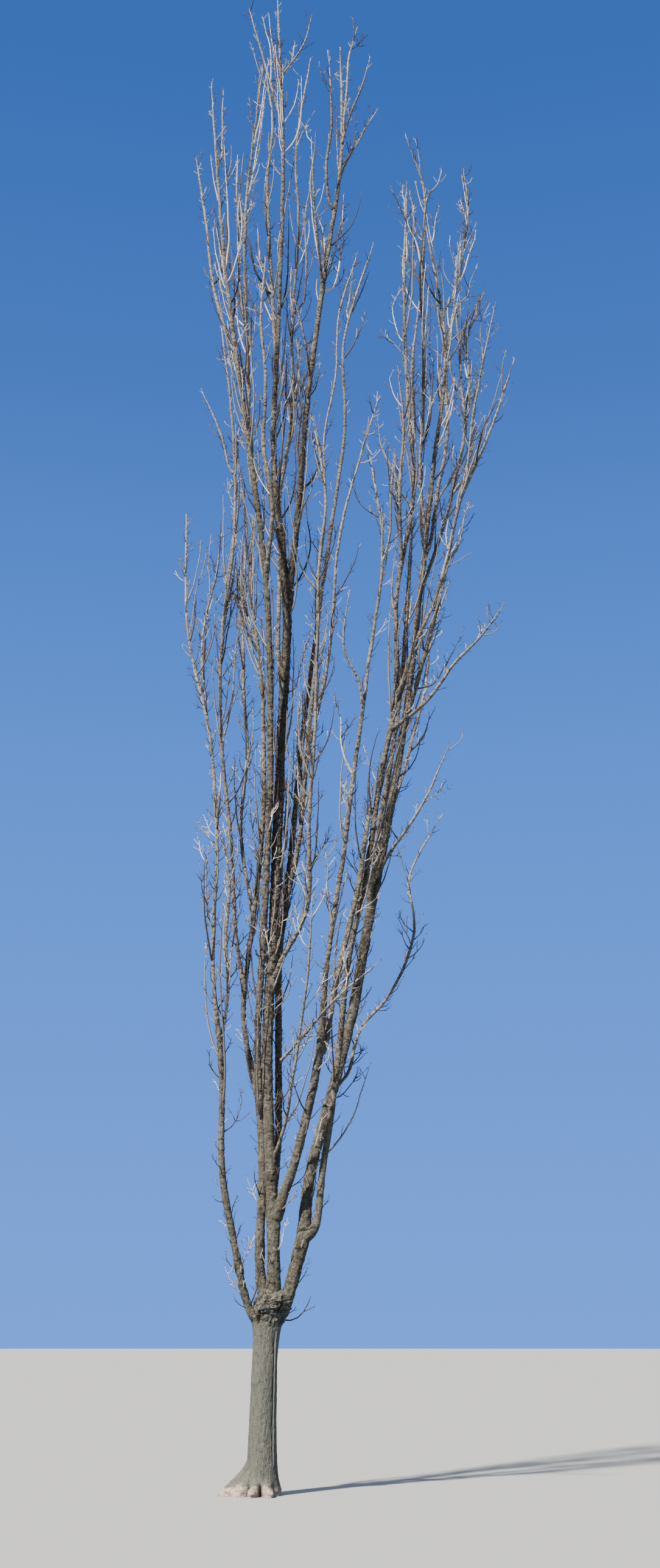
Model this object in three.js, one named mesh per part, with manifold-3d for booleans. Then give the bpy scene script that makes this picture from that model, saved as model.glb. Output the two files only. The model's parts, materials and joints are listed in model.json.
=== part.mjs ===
// A columnar sugar maple, bare in early spring: a clear bole with a root flare, a swollen fork
// collar, and steep boughs that rise in two close columns. Units are millimetres, +Z is up, and
// the origin is the centre of the flat cut at ground level. The tables are in metres.
import * as THREE from "three";
import Module from "manifold-3d";

const wasm = await Module();
wasm.setup();

// ---- driving sizes -------------------------------------------------------------------------
const M = 1000; // table metres to millimetres
const GAP = 0.5; // clearance between touching solids, mm
const BOLE_SIDES = 28;
const RING_STEP = 0.95; // metres between the rings of a bough, at most
const COLLAR_SWELL = 0.22; // how much a bough swells at its foot
const TIP_SHRINK = 0.55; // last ring against the tip radius

// The bole, from the ground to the top of its fork collar:
// height, centre in X, half width in X, half width in Y (metres)
const BOLE = [
  [0.0, 0.0, 0.2, 0.2],
  [0.1, 0.0, 0.188, 0.19],
  [0.22, 0.0, 0.177, 0.178],
  [0.36, 0.0, 0.167, 0.168],
  [0.7, 0.0, 0.158, 0.158],
  [1.03, 0.002, 0.152, 0.152],
  [1.35, 0.007, 0.147, 0.147],
  [1.62, 0.016, 0.144, 0.145],
  [1.78, 0.026, 0.153, 0.152],
  [1.92, 0.05, 0.183, 0.165],
  [2.04, 0.08, 0.212, 0.176],
  [2.14, 0.102, 0.22, 0.176],
  [2.22, 0.115, 0.2, 0.155],
  [2.27, 0.12, 0.14, 0.11],
];
// Root toes at the flare: compass direction from +X in degrees, reach beyond the bole, height,
// half angle in degrees, and how round its back is (1 is a straight slope, below 0.5 is a thumb)
const TOES = [
  [184, 0.33, 0.38, 17, 1.35],
  [214, 0.15, 0.26, 16, 1.2],
  [249, 0.175, 0.19, 12, 0.4],
  [289, 0.165, 0.185, 15, 0.4],
  [338, 0.03, 0.2, 18, 1.0],
  [22, 0.05, 0.24, 18, 1.2],
  [66, 0.2, 0.28, 19, 1.25],
  [112, 0.13, 0.22, 17, 1.0],
  [148, 0.22, 0.3, 17, 1.25],
];
// Burls on the collar: direction in degrees, height, size, how far it stands out
const BURLS = [
  [250, 2.02, 0.07, 0.022],
  [285, 1.98, 0.06, 0.02],
  [305, 2.1, 0.06, 0.018],
  [215, 1.9, 0.05, 0.015],
  [25, 1.98, 0.08, 0.024],
  [70, 2.04, 0.07, 0.02],
  [120, 1.96, 0.08, 0.024],
  [165, 2.06, 0.06, 0.018],
];

// Boughs and long shoots. Each row: name, what it grows from, the height on that one's axis where
// its own axis starts, its radii in mm from foot to tip at even stations, and in metres the few
// places that its axis passes, the last of which is its tip.
const LIMBS = [
  ['leader', 'trunk', 1.95, [76, 74, 68, 67, 66, 65, 63, 43, 31, 28, 15], [[0.1, -0.01, 2.51], [0.04, -0.01, 3.66], [-0.01, -0.01, 5.08], [0.06, 0, 6.84], [0.1, 0.03, 8.85], [0.17, 0.04, 11.05], [-0.04, 0.01, 13.5], [0.01, -0.02, 16.11], [0.04, -0.06, 18.93], [-0.08, -0.1, 21.92]]],
  ['bough_inner_left', 'trunk', 1.91, [60, 58, 50, 43, 43, 42, 41, 36, 24, 12], [[-0.06, 0.01, 2.45], [-0.05, 0, 3.63], [-0.13, -0.03, 5.06], [-0.06, -0.1, 6.85], [-0.02, -0.18, 8.87], [-0.09, -0.43, 11.12], [-0.4, -0.78, 13.54], [-0.75, -0.99, 16.19], [-0.99, -1.17, 19.03]]],
  ['bough_low_left', 'trunk', 1.75, [46, 45, 43, 40, 36, 23, 22, 20, 16, 11], [[-0.19, -0.06, 2.01], [-0.36, -0.14, 2.7], [-0.52, -0.26, 3.58], [-0.54, -0.38, 4.68], [-0.67, -0.52, 5.92], [-0.65, -0.59, 7.33], [-0.77, -0.65, 8.85], [-1.12, -0.62, 10.48], [-1.2, -0.5, 12.24]]],
  ['shoot_low_left_twin', 'bough_low_left', 4.95, [21, 20, 19, 17, 13], [[-0.49, -0.31, 5.66], [-0.54, -0.23, 6.39], [-0.51, -0.16, 7.12], [-0.65, -0.1, 7.82]]],
  ['shoot_left_tall', 'bough_low_left', 9.09, [20, 19, 17, 15, 11], [[-0.92, -0.49, 10], [-0.91, -0.35, 10.73], [-0.79, -0.24, 11.44], [-0.75, -0.15, 12.11]]],
  ['bough_mid_left', 'bough_inner_left', 4.34, [33, 33, 32, 32, 29, 24, 19, 14], [[-0.32, 0.12, 5.48], [-0.22, 0.1, 6.68], [-0.12, 0.07, 7.87], [-0.12, 0.07, 9.06], [-0.18, 0.09, 10.25], [-0.34, 0.14, 11.43], [-0.33, 0.21, 12.61]]],
  ['bough_outer_left', 'bough_mid_left', 5.79, [28, 27, 27, 25, 23, 21, 19, 14], [[-0.44, 0.1, 6.52], [-0.52, 0.05, 7.75], [-0.68, 0.05, 9.1], [-0.72, 0.12, 10.67], [-0.59, 0.23, 12.33], [-0.66, 0.4, 14.16], [-0.88, 0.59, 16.05]]],
  ['shoot_left_crest', 'bough_outer_left', 13.38, [20, 19, 18, 12], [[-0.7, 0.3, 13.52], [-0.81, 0.21, 13.96], [-1.08, 0.1, 14.59]]],
  ['shoot_green_tip', 'bough_inner_left', 17.71, [20, 20, 19, 12], [[-0.83, -0.98, 17.92], [-0.84, -0.81, 18.48], [-0.86, -0.68, 19.4]]],
  ['bough_green_fork', 'bough_inner_left', 11.32, [30, 28, 25, 22, 19, 13], [[-0.01, -0.79, 12.14], [-0.14, -0.88, 13.12], [-0.12, -0.98, 14.05], [-0.2, -1.08, 15.01], [-0.15, -1.17, 15.95]]],
  ['bough_far_left', 'bough_inner_left', 14.42, [24, 22, 18, 12], [[-0.91, -0.49, 15.92], [-1.08, -0.45, 17.22], [-1.26, -0.34, 18.44]]],
  ['bough_green_inner', 'bough_inner_left', 12.28, [30, 30, 27, 22, 13], [[-0.36, -0.41, 13.18], [-0.43, -0.21, 15.08], [-0.51, -0.18, 17.45], [-0.3, -0.23, 20.36]]],
  ['shoot_green_inner', 'bough_green_inner', 15.57, [21, 20, 12], [[-0.58, -0.09, 16.43], [-0.69, 0.12, 18.81]]],
  ['bough_leader_left', 'leader', 15, [32, 30, 27, 23, 19, 13], [[-0.11, 0.2, 16.52], [-0.18, 0.32, 17.73], [-0.22, 0.45, 18.9], [-0.16, 0.56, 20.01], [-0.28, 0.68, 21.08]]],
  ['bough_behind', 'leader', 9.85, [39, 30, 29, 29, 28, 23, 20, 17, 14], [[0.05, 0.2, 10.57], [0.06, 0.36, 11.82], [0.04, 0.5, 13.18], [0.21, 0.7, 14.75], [0.17, 0.91, 16.45], [0.26, 1.1, 18.3], [0.21, 1.28, 20.24], [0.43, 1.45, 22.26]]],
  ['shoot_behind', 'bough_behind', 14.79, [20, 20, 19, 13], [[0.2, 0.75, 14.98], [0.27, 0.88, 15.47], [0.31, 1.08, 16.23]]],
  ['shoot_top_left', 'leader', 19.41, [18, 17, 12], [[-0.3, 0.1, 20.89], [-0.55, 0.23, 22.07]]],
  ['shoot_top_right', 'leader', 20.38, [16, 16, 15, 12], [[0.16, -0.13, 20.6], [0.36, -0.22, 20.91], [0.46, -0.34, 21.28]]],
  ['bough_partner', 'leader', 11, [58, 46, 39, 36, 22, 13], [[0.31, -0.19, 12.36], [0.45, -0.33, 14.26], [0.68, -0.46, 16.23], [0.93, -0.51, 18.35], [0.92, -0.42, 20.58]]],
  ['shoot_partner_left', 'bough_partner', 17.38, [26, 26, 24, 20, 12], [[0.75, -0.55, 17.53], [0.71, -0.7, 18], [0.79, -0.88, 18.7], [0.75, -1.08, 19.66]]],
  ['shoot_partner_high', 'bough_partner', 18.09, [20, 20, 18, 16, 12], [[0.97, -0.32, 19.11], [1.02, -0.18, 19.93], [1.06, -0.06, 20.72], [1.19, 0.05, 21.47]]],
  ['shoot_partner_mid', 'bough_partner', 18.59, [21, 19, 16, 11], [[1.06, -0.73, 18.94], [1.23, -0.85, 19.35], [1.36, -0.97, 19.77]]],
  ['shoot_partner_right', 'bough_partner', 17.95, [20, 20, 12], [[1.05, -0.21, 18.65], [1.5, 0.31, 20.04]]],
  ['shoot_partner_front', 'bough_partner', 16.07, [21, 19, 16, 11], [[0.57, -0.91, 16.75], [0.52, -1.15, 17.38], [0.55, -1.38, 17.98]]],
  ['shoot_partner_inner', 'bough_partner', 14.56, [19, 18, 12], [[0.42, -0.68, 14.89], [0.27, -0.94, 15.44]]],
  ['bough_elbow', 'leader', 5.77, [30, 29, 28, 24, 20, 13], [[0.16, -0.1, 6.11], [0.49, -0.26, 6.81], [0.5, -0.55, 7.82], [0.57, -0.73, 9.06], [0.61, -0.86, 10.5]]],
  ['bough_dark', 'leader', 3.27, [45, 45, 44, 43, 39, 35, 30, 28, 23, 18, 13], [[0.13, 0.12, 3.92], [0.12, 0.16, 5.05], [0.12, 0.2, 6.29], [0.26, 0.29, 7.72], [0.38, 0.43, 9.26], [0.56, 0.6, 10.91], [0.76, 0.77, 12.65], [0.98, 0.94, 14.49], [1, 1.11, 16.36], [1.46, 1.31, 18.26]]],
  ['bough_lit', 'bough_dark', 6.68, [33, 32, 28, 25, 21, 18, 13], [[0.38, -0.03, 7.84], [0.47, -0.18, 9.06], [0.59, -0.28, 10.27], [0.61, -0.33, 11.5], [0.7, -0.3, 12.71], [0.52, -0.27, 13.93]]],
  ['shoot_lit_high', 'bough_lit', 12.68, [21, 21, 18, 16, 12], [[0.69, -0.51, 13.52], [0.85, -0.7, 14.37], [0.89, -0.87, 15.22], [1.12, -1.03, 16.04]]],
  ['stub_broken', 'bough_dark', 11.17, [39, 37, 35], [[0.57, 0.43, 11.52], [0.69, 0.23, 12.58]]],
  ['bough_lit_right', 'bough_lit', 8.81, [25, 23, 18, 11], [[0.75, -0.64, 10.04], [0.91, -0.95, 11.77], [1.41, -1.24, 13.58]]],
  ['shoot_centre_thin', 'leader', 3.6, [20, 20, 18, 15, 10], [[0.21, -0.16, 4.05], [0.35, -0.46, 4.78], [0.48, -0.77, 5.63], [0.55, -0.99, 6.65]]],
  ['shoot_diagonal', 'bough_dark', 4.86, [19, 17, 14, 10], [[0.51, -0.47, 5.16], [0.86, -0.89, 5.48], [1.33, -1.1, 5.83]]],
  ['bough_right_inner', 'leader', 2.91, [61, 58, 50, 31, 29, 27, 23, 18, 12], [[0.36, -0.17, 3.71], [0.62, -0.34, 4.83], [0.73, -0.49, 6.02], [0.93, -0.61, 7.32], [1.1, -0.67, 8.68], [1.29, -0.7, 10.09], [1.47, -0.77, 11.55], [1.3, -0.86, 13.03]]],
  ['bough_right_twin', 'bough_right_inner', 4.86, [48, 47, 46, 34, 24], [[0.72, -0.27, 5.11], [0.85, -0.19, 5.87], [1.1, -0.11, 6.97], [1.33, 0.03, 8.48]]],
  ['shoot_right_inner', 'bough_right_inner', 9.32, [18, 17, 15, 11], [[1.13, -0.8, 9.63], [0.94, -0.97, 10.07], [1, -1.17, 10.63]]],
  ['shoot_right_inner_high', 'bough_right_inner', 11.35, [18, 18, 16, 11], [[1.56, -0.84, 11.75], [1.58, -1, 12.26], [1.63, -1.17, 12.81]]],
  ['bough_right', 'trunk', 1.83, [81, 80, 78, 75, 67, 65, 65, 64, 52, 48, 39, 31, 24, 13], [[0.16, 0.02, 1.89], [0.31, 0.04, 2.25], [0.44, 0.1, 2.82], [0.53, 0.2, 3.58], [0.78, 0.35, 4.5], [1.05, 0.49, 5.57], [1.28, 0.56, 6.84], [1.56, 0.58, 8.26], [1.82, 0.57, 9.85], [2.04, 0.48, 11.57], [2.26, 0.36, 13.5], [2.48, 0.25, 15.52], [2.23, 0.15, 17.69]]],
  ['bough_right_middle', 'bough_right', 6.9, [36, 35, 35, 29, 26], [[1.31, 0.44, 7.31], [1.5, 0.23, 8.42], [1.74, 0.15, 10.11], [1.92, 0, 12.39]]],
  ['bough_right_crest', 'bough_right', 12.4, [28, 27, 26, 25, 24, 21, 16, 12], [[2.06, 0.26, 13.3], [2.11, 0.14, 14.23], [2.14, 0.05, 15.15], [2.14, -0.03, 16.08], [2.17, -0.12, 17.01], [2.19, -0.25, 17.93], [1.93, -0.44, 18.79]]],
  ['shoot_right_crest', 'bough_right_crest', 17.65, [16, 16, 16, 12], [[2.26, -0.05, 18.05], [2.42, 0.04, 18.35], [2.48, 0.12, 18.65]]],
  ['bough_right_side', 'bough_right', 12.12, [27, 26, 26, 25, 23, 17], [[2.23, 0.51, 12.5], [2.33, 0.64, 13.28], [2.51, 0.76, 14.3], [2.54, 0.86, 15.53], [2.72, 0.97, 16.95]]],
  ['shoot_right_peak', 'bough_right', 16.1, [24, 23, 21, 18, 13], [[2.73, 0.49, 16.82], [2.85, 0.61, 17.64], [2.96, 0.73, 18.46], [2.92, 0.83, 19.28]]],
  ['bough_right_back', 'bough_right', 11.55, [26, 25, 25, 25, 22, 17, 13], [[2.4, 0.71, 12.7], [2.62, 0.85, 13.65], [2.8, 0.96, 14.57], [2.78, 1.07, 15.47], [2.78, 1.17, 16.33], [2.73, 1.27, 17.16]]],
  ['shoot_right_back', 'bough_right_back', 14.33, [19, 19, 18, 17, 13], [[2.88, 1.04, 15.06], [2.91, 1.15, 15.78], [2.94, 1.25, 16.51], [3.25, 1.35, 17.17]]],
  ['bough_right_far', 'bough_right', 9.51, [35, 31, 28, 23, 18, 12], [[2.07, 0.27, 10.5], [2.34, 0.1, 11.57], [2.58, -0.07, 12.65], [3.01, -0.26, 13.66], [3.36, -0.54, 14.67]]],
  ['shoot_right_far', 'bough_right_far', 12.91, [24, 20, 12], [[2.79, -0.53, 13.93], [3.07, -1.03, 15.24]]],
  ['shoot_right_bow', 'bough_right', 8.06, [23, 22, 19, 17, 12], [[1.84, 0.86, 9.24], [2.09, 0.97, 10.21], [2.23, 1.08, 11.17], [2.49, 1.17, 12.03]]],
  ['shoot_right_low', 'bough_right', 4.58, [21, 21, 21, 20, 18, 16, 11], [[1, 0.57, 4.84], [1.16, 0.88, 5.43], [1.58, 1.07, 5.97], [1.89, 1.17, 6.77], [1.86, 1.27, 7.63], [2.31, 1.38, 8.52]]],
  ['shoot_right_heart', 'bough_right', 7.46, [23, 22, 17, 11], [[1.6, 0.26, 7.71], [1.97, -0.02, 8.21], [2.3, -0.34, 8.87]]],
  ['bough_left_fork', 'bough_mid_left', 6.74, [26, 26, 24, 22, 20, 18, 13], [[-0.41, 0.3, 7.9], [-0.36, 0.48, 9.1], [-0.44, 0.61, 10.3], [-0.48, 0.69, 11.5], [-0.46, 0.76, 12.72], [-0.59, 0.83, 13.9]]],
  ['bough_right_lit', 'bough_right', 2.74, [47, 44, 41, 40, 39, 38, 37, 37, 36, 32, 31, 26, 22, 12], [[0.6, 0.06, 2.95], [0.67, 0.05, 3.52], [0.78, 0.04, 4.24], [0.89, 0.04, 5.15], [1, 0.04, 6.15], [1.23, 0.03, 7.27], [1.41, 0.02, 8.5], [1.65, 0, 9.83], [1.68, -0.05, 11.27], [1.93, -0.12, 12.78], [1.87, -0.22, 14.38], [1.85, -0.36, 16.06], [1.91, -0.54, 17.79]]],
  ['shoot_inner_left', 'bough_mid_left', 10.54, [23, 22, 13], [[-0.33, 0.14, 10.88], [-0.56, 0.44, 11.82]]],
  ['shoot_right_fork', 'bough_right_lit', 17.23, [17, 16, 11], [[1.78, -0.7, 17.31], [1.69, -0.86, 17.39]]],
  ['shoot_right_mid', 'bough_right_lit', 13.53, [27, 26, 23, 15], [[1.96, -0.34, 13.83], [1.92, -0.63, 14.48], [2.01, -0.86, 15.38]]],
  ['shoot_right_left', 'bough_right_lit', 11.73, [24, 21, 17, 12], [[1.73, -0.45, 12.72], [1.79, -0.6, 13.6], [1.72, -0.76, 14.43]]],
  ['bough_right_arch', 'bough_right_lit', 9.25, [27, 24, 20, 16, 11], [[2.05, -0.25, 9.59], [2.38, -0.45, 10], [2.74, -0.66, 10.32], [3.01, -0.83, 10.66]]],
  ['bough_right_slant', 'bough_right_lit', 9.71, [30, 29, 27, 23, 15], [[1.73, -0.08, 9.9], [1.9, -0.18, 10.43], [2.23, -0.21, 11.21], [2.49, -0.1, 12.32]]],
];

// Bark colours from the bole up to the palest shoots
const BARK = {
  bole_bark: [0x7d7a70, 0.95],
  bough_bark: [0x8a7a66, 0.93],
  shoot_bark: [0xb5a48e, 0.88],
};

// ---- shapes --------------------------------------------------------------------------------
// Weights of the four control points round u on an even Catmull-Rom curve; the two ends lean on
// mirrored points.
function along(points, u, size) {
  const last = points.length - 1;
  const s = Math.min(Math.max(u, 0), 1) * last;
  const i = Math.min(Math.floor(s), last - 1);
  const f = s - i;
  const w = [
    -0.5 * f + f * f - 0.5 * f ** 3,
    1 - 2.5 * f * f + 1.5 * f ** 3,
    0.5 * f + 2 * f * f - 1.5 * f ** 3,
    -0.5 * f * f + 0.5 * f ** 3,
  ];
  const out = new Array(size).fill(0);
  for (let k = 0; k < 4; k++) {
    const j = i - 1 + k;
    for (let c = 0; c < size; c++) {
      let v;
      if (j < 0) v = 2 * points[0][c] - points[1][c];
      else if (j > last) v = 2 * points[last][c] - points[last - 1][c];
      else v = points[j][c];
      out[c] += w[k] * v;
    }
  }
  return out;
}

// Value from a list of even stations
function station(list, u) {
  const s = Math.min(Math.max(u, 0), 1) * (list.length - 1);
  const i = Math.min(Math.floor(s), list.length - 2);
  return list[i] + (list[i + 1] - list[i]) * (s - i);
}

// The bole's centre and half widths at a height
function boleAt(z) {
  let k = 0;
  while (k < BOLE.length - 2 && BOLE[k + 1][0] < z) k++;
  const f = Math.min(Math.max((z - BOLE[k][0]) / (BOLE[k + 1][0] - BOLE[k][0]), 0), 1);
  return [1, 2, 3].map((c) => BOLE[k][c] + (BOLE[k + 1][c] - BOLE[k][c]) * f);
}

function turn(a, b) {
  return Math.abs(((a - b + 540) % 360) - 180);
}

// How far the bole's surface lies from its centre, in a direction at a height
function boleReach(deg, z) {
  const [, hx, hy] = boleAt(z);
  const a = THREE.MathUtils.degToRad(deg);
  let r = 1 / Math.hypot(Math.cos(a) / hx, Math.sin(a) / hy);
  for (const [dir, reach, height, half, back] of TOES) {
    if (z >= height) continue;
    const side = turn(deg, dir) / half;
    const fall = 1 - z / height;
    const shape = back < 0.5 ? (0.5 - 0.5 * Math.cos(Math.PI * fall)) ** 0.8 : fall ** back;
    r += reach * shape * Math.exp(-side * side);
  }
  for (const [dir, at, size, out] of BURLS) {
    const across = THREE.MathUtils.degToRad(turn(deg, dir)) * 0.19;
    const d2 = (across ** 2 + (z - at) ** 2) / size ** 2;
    r += out * Math.exp(-d2);
  }
  return r;
}

// A closed skin over rings of points: triangles between rings, and a fan on each end
function skin(rings) {
  const n = rings[0].length;
  const verts = rings.flat();
  const tris = [];
  for (let k = 0; k + 1 < rings.length; k++) {
    for (let i = 0; i < n; i++) {
      const j = (i + 1) % n;
      const a = k * n + i, b = k * n + j, c = (k + 1) * n + j, d = (k + 1) * n + i;
      tris.push([a, b, c], [a, c, d]);
    }
  }
  for (let i = 1; i + 1 < n; i++) tris.push([0, i + 1, i]);
  const top = (rings.length - 1) * n;
  for (let i = 1; i + 1 < n; i++) tris.push([top, top + i, top + i + 1]);
  return solid(verts, tris);
}

function solid(verts, tris) {
  const mesh = new wasm.Mesh({
    numProp: 3,
    vertProperties: Float32Array.from(verts.flat()),
    triVerts: Uint32Array.from(tris.flat()),
  });
  mesh.merge();
  return new wasm.Manifold(mesh);
}

function bole(grow) {
  const heights = [0, 0.035, 0.075, 0.12, 0.165, 0.215, 0.27, 0.33, 0.4, 0.52, 0.7, 1.03, 1.35, 1.55];
  heights.push(1.66, 1.76, 1.85, 1.93, 2.01, 2.09, 2.16, 2.22, 2.26);
  const rings = heights.map((z) => {
    const cx = boleAt(z)[0] * M;
    const ring = [];
    for (let i = 0; i < BOLE_SIDES; i++) {
      const deg = (360 * i) / BOLE_SIDES;
      const a = THREE.MathUtils.degToRad(deg);
      const r = boleReach(deg, z) * M + grow;
      ring.push([cx + r * Math.cos(a), r * Math.sin(a), z * M + (z === 0 ? -grow : z > 2.25 ? grow : 0)]);
    }
    return ring;
  });
  return skin(rings);
}

// The axis of a limb, in metres, as its control points from its foot to its tip
const axes = {};
function footOn(parent, z) {
  if (parent === "trunk") return [boleAt(z)[0], 0, z];
  const pts = axes[parent].points;
  let low = 0, high = 1;
  for (let k = 0; k < 40; k++) {
    const mid = (low + high) / 2;
    if (along(pts, mid, 3)[2] < z) low = mid;
    else high = mid;
  }
  return along(pts, low, 3);
}

function parentRadius(parent, z) {
  if (parent === "trunk") return 140;
  const { points, radii } = axes[parent];
  let low = 0, high = 1;
  for (let k = 0; k < 40; k++) {
    const mid = (low + high) / 2;
    if (along(points, mid, 3)[2] < z) low = mid;
    else high = mid;
  }
  return station(radii, low);
}

for (const [name, parent, z, radii, places] of LIMBS) {
  const cap = parentRadius(parent, z) / (1 + COLLAR_SWELL) * 0.92;
  axes[name] = {
    parent,
    points: [footOn(parent, z), ...places],
    radii: radii.map((r) => Math.min(r, cap)),
  };
}

function limb(name, grow) {
  const { points, radii } = axes[name];
  const at = (u) => new THREE.Vector3(...along(points, u, 3)).multiplyScalar(M);
  let length = 0;
  let before = at(0);
  for (let k = 1; k <= 60; k++) {
    const p = at(k / 60);
    length += p.distanceTo(before);
    before = p;
  }
  const sides = radii[0] > 60 ? 9 : radii[0] > 30 ? 7 : radii[0] > 20 ? 6 : 5;
  const steps = Math.max(5, Math.ceil(length / (RING_STEP * M)) + 2);
  const rings = [];
  for (let k = 0; k <= steps; k++) {
    const u = (k / steps) ** 1.15; // closer together at the foot
    const centre = at(u);
    const ahead = at(Math.min(u + 0.01, 1)).sub(at(Math.max(u - 0.01, 0))).normalize();
    const side = new THREE.Vector3(0, 1, 0).cross(ahead).normalize();
    const over = ahead.clone().cross(side);
    const gone = u * length;
    let r = station(radii, u) * (1 + COLLAR_SWELL * Math.exp(-gone / (3.2 * radii[0])));
    if (k === steps) r *= TIP_SHRINK;
    r += grow;
    if (grow && k === 0) centre.addScaledVector(ahead, -grow);
    if (grow && k === steps) centre.addScaledVector(ahead, grow);
    const ring = [];
    for (let i = 0; i < sides; i++) {
      const a = (2 * Math.PI * i) / sides;
      ring.push(centre.clone().addScaledVector(side, r * Math.cos(a)).addScaledVector(over, r * Math.sin(a)).toArray());
    }
    rings.push(ring);
  }
  return skin(rings);
}

// ---- solids, each cut back from those before it, so that none share space ------------------
function largest(shape) {
  const bodies = shape.decompose();
  bodies.sort((a, b) => b.volume() - a.volume());
  return bodies[0];
}

function meets(a, b) {
  const p = a.boundingBox(), q = b.boundingBox();
  return [0, 1, 2].every((c) => p.min[c] <= q.max[c] && q.min[c] <= p.max[c]);
}

const tree = new THREE.Group();

function add(name, shape, bark) {
  const mesh = shape.getMesh();
  const count = mesh.numProp;
  const flat = new Float32Array((mesh.vertProperties.length / count) * 3);
  for (let k = 0; k < flat.length / 3; k++) {
    for (let c = 0; c < 3; c++) flat[3 * k + c] = mesh.vertProperties[count * k + c];
  }
  const geometry = new THREE.BufferGeometry();
  geometry.setAttribute("position", new THREE.BufferAttribute(flat, 3));
  geometry.setIndex(new THREE.BufferAttribute(Uint32Array.from(mesh.triVerts), 1));
  geometry.computeVertexNormals();
  const [color, roughness] = BARK[bark];
  const node = new THREE.Mesh(geometry, new THREE.MeshStandardMaterial({ color, roughness, metalness: 0 }));
  node.name = name;
  tree.add(node);
}

const taken = [];
add("trunk", bole(0), "bole_bark");
taken.push(bole(GAP));
for (const [name, , , radii] of LIMBS) {
  let shape = limb(name, 0);
  for (const other of taken) {
    if (meets(shape, other)) shape = shape.subtract(other);
  }
  shape = largest(shape);
  add(name, shape, radii[0] >= 45 ? "bough_bark" : radii[0] >= 24 ? "bough_bark" : "shoot_bark");
  taken.push(limb(name, GAP));
}

export default tree;
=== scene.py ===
"""A columnar sugar maple, bare in early spring: bark, boughs, spur shoots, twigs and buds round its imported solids.

Metres, +Z up, origin at the centre of the flat cut at ground level.
"""
import json
import math

import bpy
import numpy as np
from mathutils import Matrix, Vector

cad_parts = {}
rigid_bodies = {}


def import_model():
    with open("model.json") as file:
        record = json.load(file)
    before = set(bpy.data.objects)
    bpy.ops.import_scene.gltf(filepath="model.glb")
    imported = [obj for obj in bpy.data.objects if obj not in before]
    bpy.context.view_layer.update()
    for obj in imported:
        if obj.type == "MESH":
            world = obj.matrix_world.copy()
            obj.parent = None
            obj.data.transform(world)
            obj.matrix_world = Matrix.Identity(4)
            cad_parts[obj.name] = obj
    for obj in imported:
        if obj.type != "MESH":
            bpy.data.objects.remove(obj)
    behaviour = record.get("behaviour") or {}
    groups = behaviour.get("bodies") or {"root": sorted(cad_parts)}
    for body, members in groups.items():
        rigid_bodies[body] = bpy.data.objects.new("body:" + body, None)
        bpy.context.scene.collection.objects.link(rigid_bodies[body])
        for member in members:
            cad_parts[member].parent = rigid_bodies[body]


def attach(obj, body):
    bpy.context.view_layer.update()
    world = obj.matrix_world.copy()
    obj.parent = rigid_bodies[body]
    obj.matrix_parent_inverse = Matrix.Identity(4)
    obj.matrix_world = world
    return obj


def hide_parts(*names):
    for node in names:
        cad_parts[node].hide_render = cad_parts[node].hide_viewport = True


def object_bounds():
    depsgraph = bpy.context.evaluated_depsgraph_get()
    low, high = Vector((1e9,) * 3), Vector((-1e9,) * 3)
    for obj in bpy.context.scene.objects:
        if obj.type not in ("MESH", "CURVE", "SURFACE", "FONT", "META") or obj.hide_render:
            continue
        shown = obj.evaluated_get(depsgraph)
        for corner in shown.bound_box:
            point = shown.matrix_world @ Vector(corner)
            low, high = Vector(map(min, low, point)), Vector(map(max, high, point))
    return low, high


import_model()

CAD_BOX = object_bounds()
rng = np.random.default_rng(20417)
UP = np.array([0.0, 0.0, 1.0])

# ---- camera, at the photograph's viewing angle ---------------------------------------------
camera = bpy.data.objects.new("camera", bpy.data.cameras.new("camera"))
camera.data.lens = 35.0
camera.data.sensor_width = 36.0
camera.data.clip_end = 2000.0
camera.location = (0.764, -18.8, 1.585)
camera.rotation_euler = (math.radians(110.2), 0.0, 0.0)
bpy.context.scene.collection.objects.link(camera)
bpy.context.scene.camera = camera

# ---- driving sizes, as in the solids -------------------------------------------------------
COLLAR_SWELL = 0.22
# height, centre in X, half width in X, half width in Y
BOLE = np.array([
    [0.0, 0.0, 0.2, 0.2],
    [0.1, 0.0, 0.188, 0.19],
    [0.22, 0.0, 0.177, 0.178],
    [0.36, 0.0, 0.167, 0.168],
    [0.7, 0.0, 0.158, 0.158],
    [1.03, 0.002, 0.152, 0.152],
    [1.35, 0.007, 0.147, 0.147],
    [1.62, 0.016, 0.144, 0.145],
    [1.78, 0.026, 0.153, 0.152],
    [1.92, 0.05, 0.183, 0.165],
    [2.04, 0.08, 0.212, 0.176],
    [2.14, 0.102, 0.22, 0.176],
    [2.22, 0.115, 0.2, 0.155],
    [2.27, 0.12, 0.14, 0.11],
])
# direction in degrees, reach, height, half angle, how round its back is
TOES = [
    (184, 0.33, 0.38, 17, 1.35),
    (214, 0.15, 0.26, 16, 1.2),
    (249, 0.175, 0.190, 12.0, 0.40),
    (289, 0.165, 0.185, 15, 0.40),
    (338, 0.03, 0.20, 18, 1.0),
    (22, 0.05, 0.24, 18, 1.2),
    (66, 0.20, 0.28, 19, 1.25),
    (112, 0.13, 0.22, 17, 1.0),
    (148, 0.22, 0.30, 17, 1.25),
]
# direction in degrees, height, size, how far it stands out
BURLS = [
    (250, 2.02, 0.07, 0.022),
    (285, 1.98, 0.06, 0.02),
    (305, 2.1, 0.06, 0.018),
    (215, 1.9, 0.05, 0.015),
    (25, 1.98, 0.08, 0.024),
    (70, 2.04, 0.07, 0.02),
    (120, 1.96, 0.08, 0.024),
    (165, 2.06, 0.06, 0.018),
]
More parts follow.
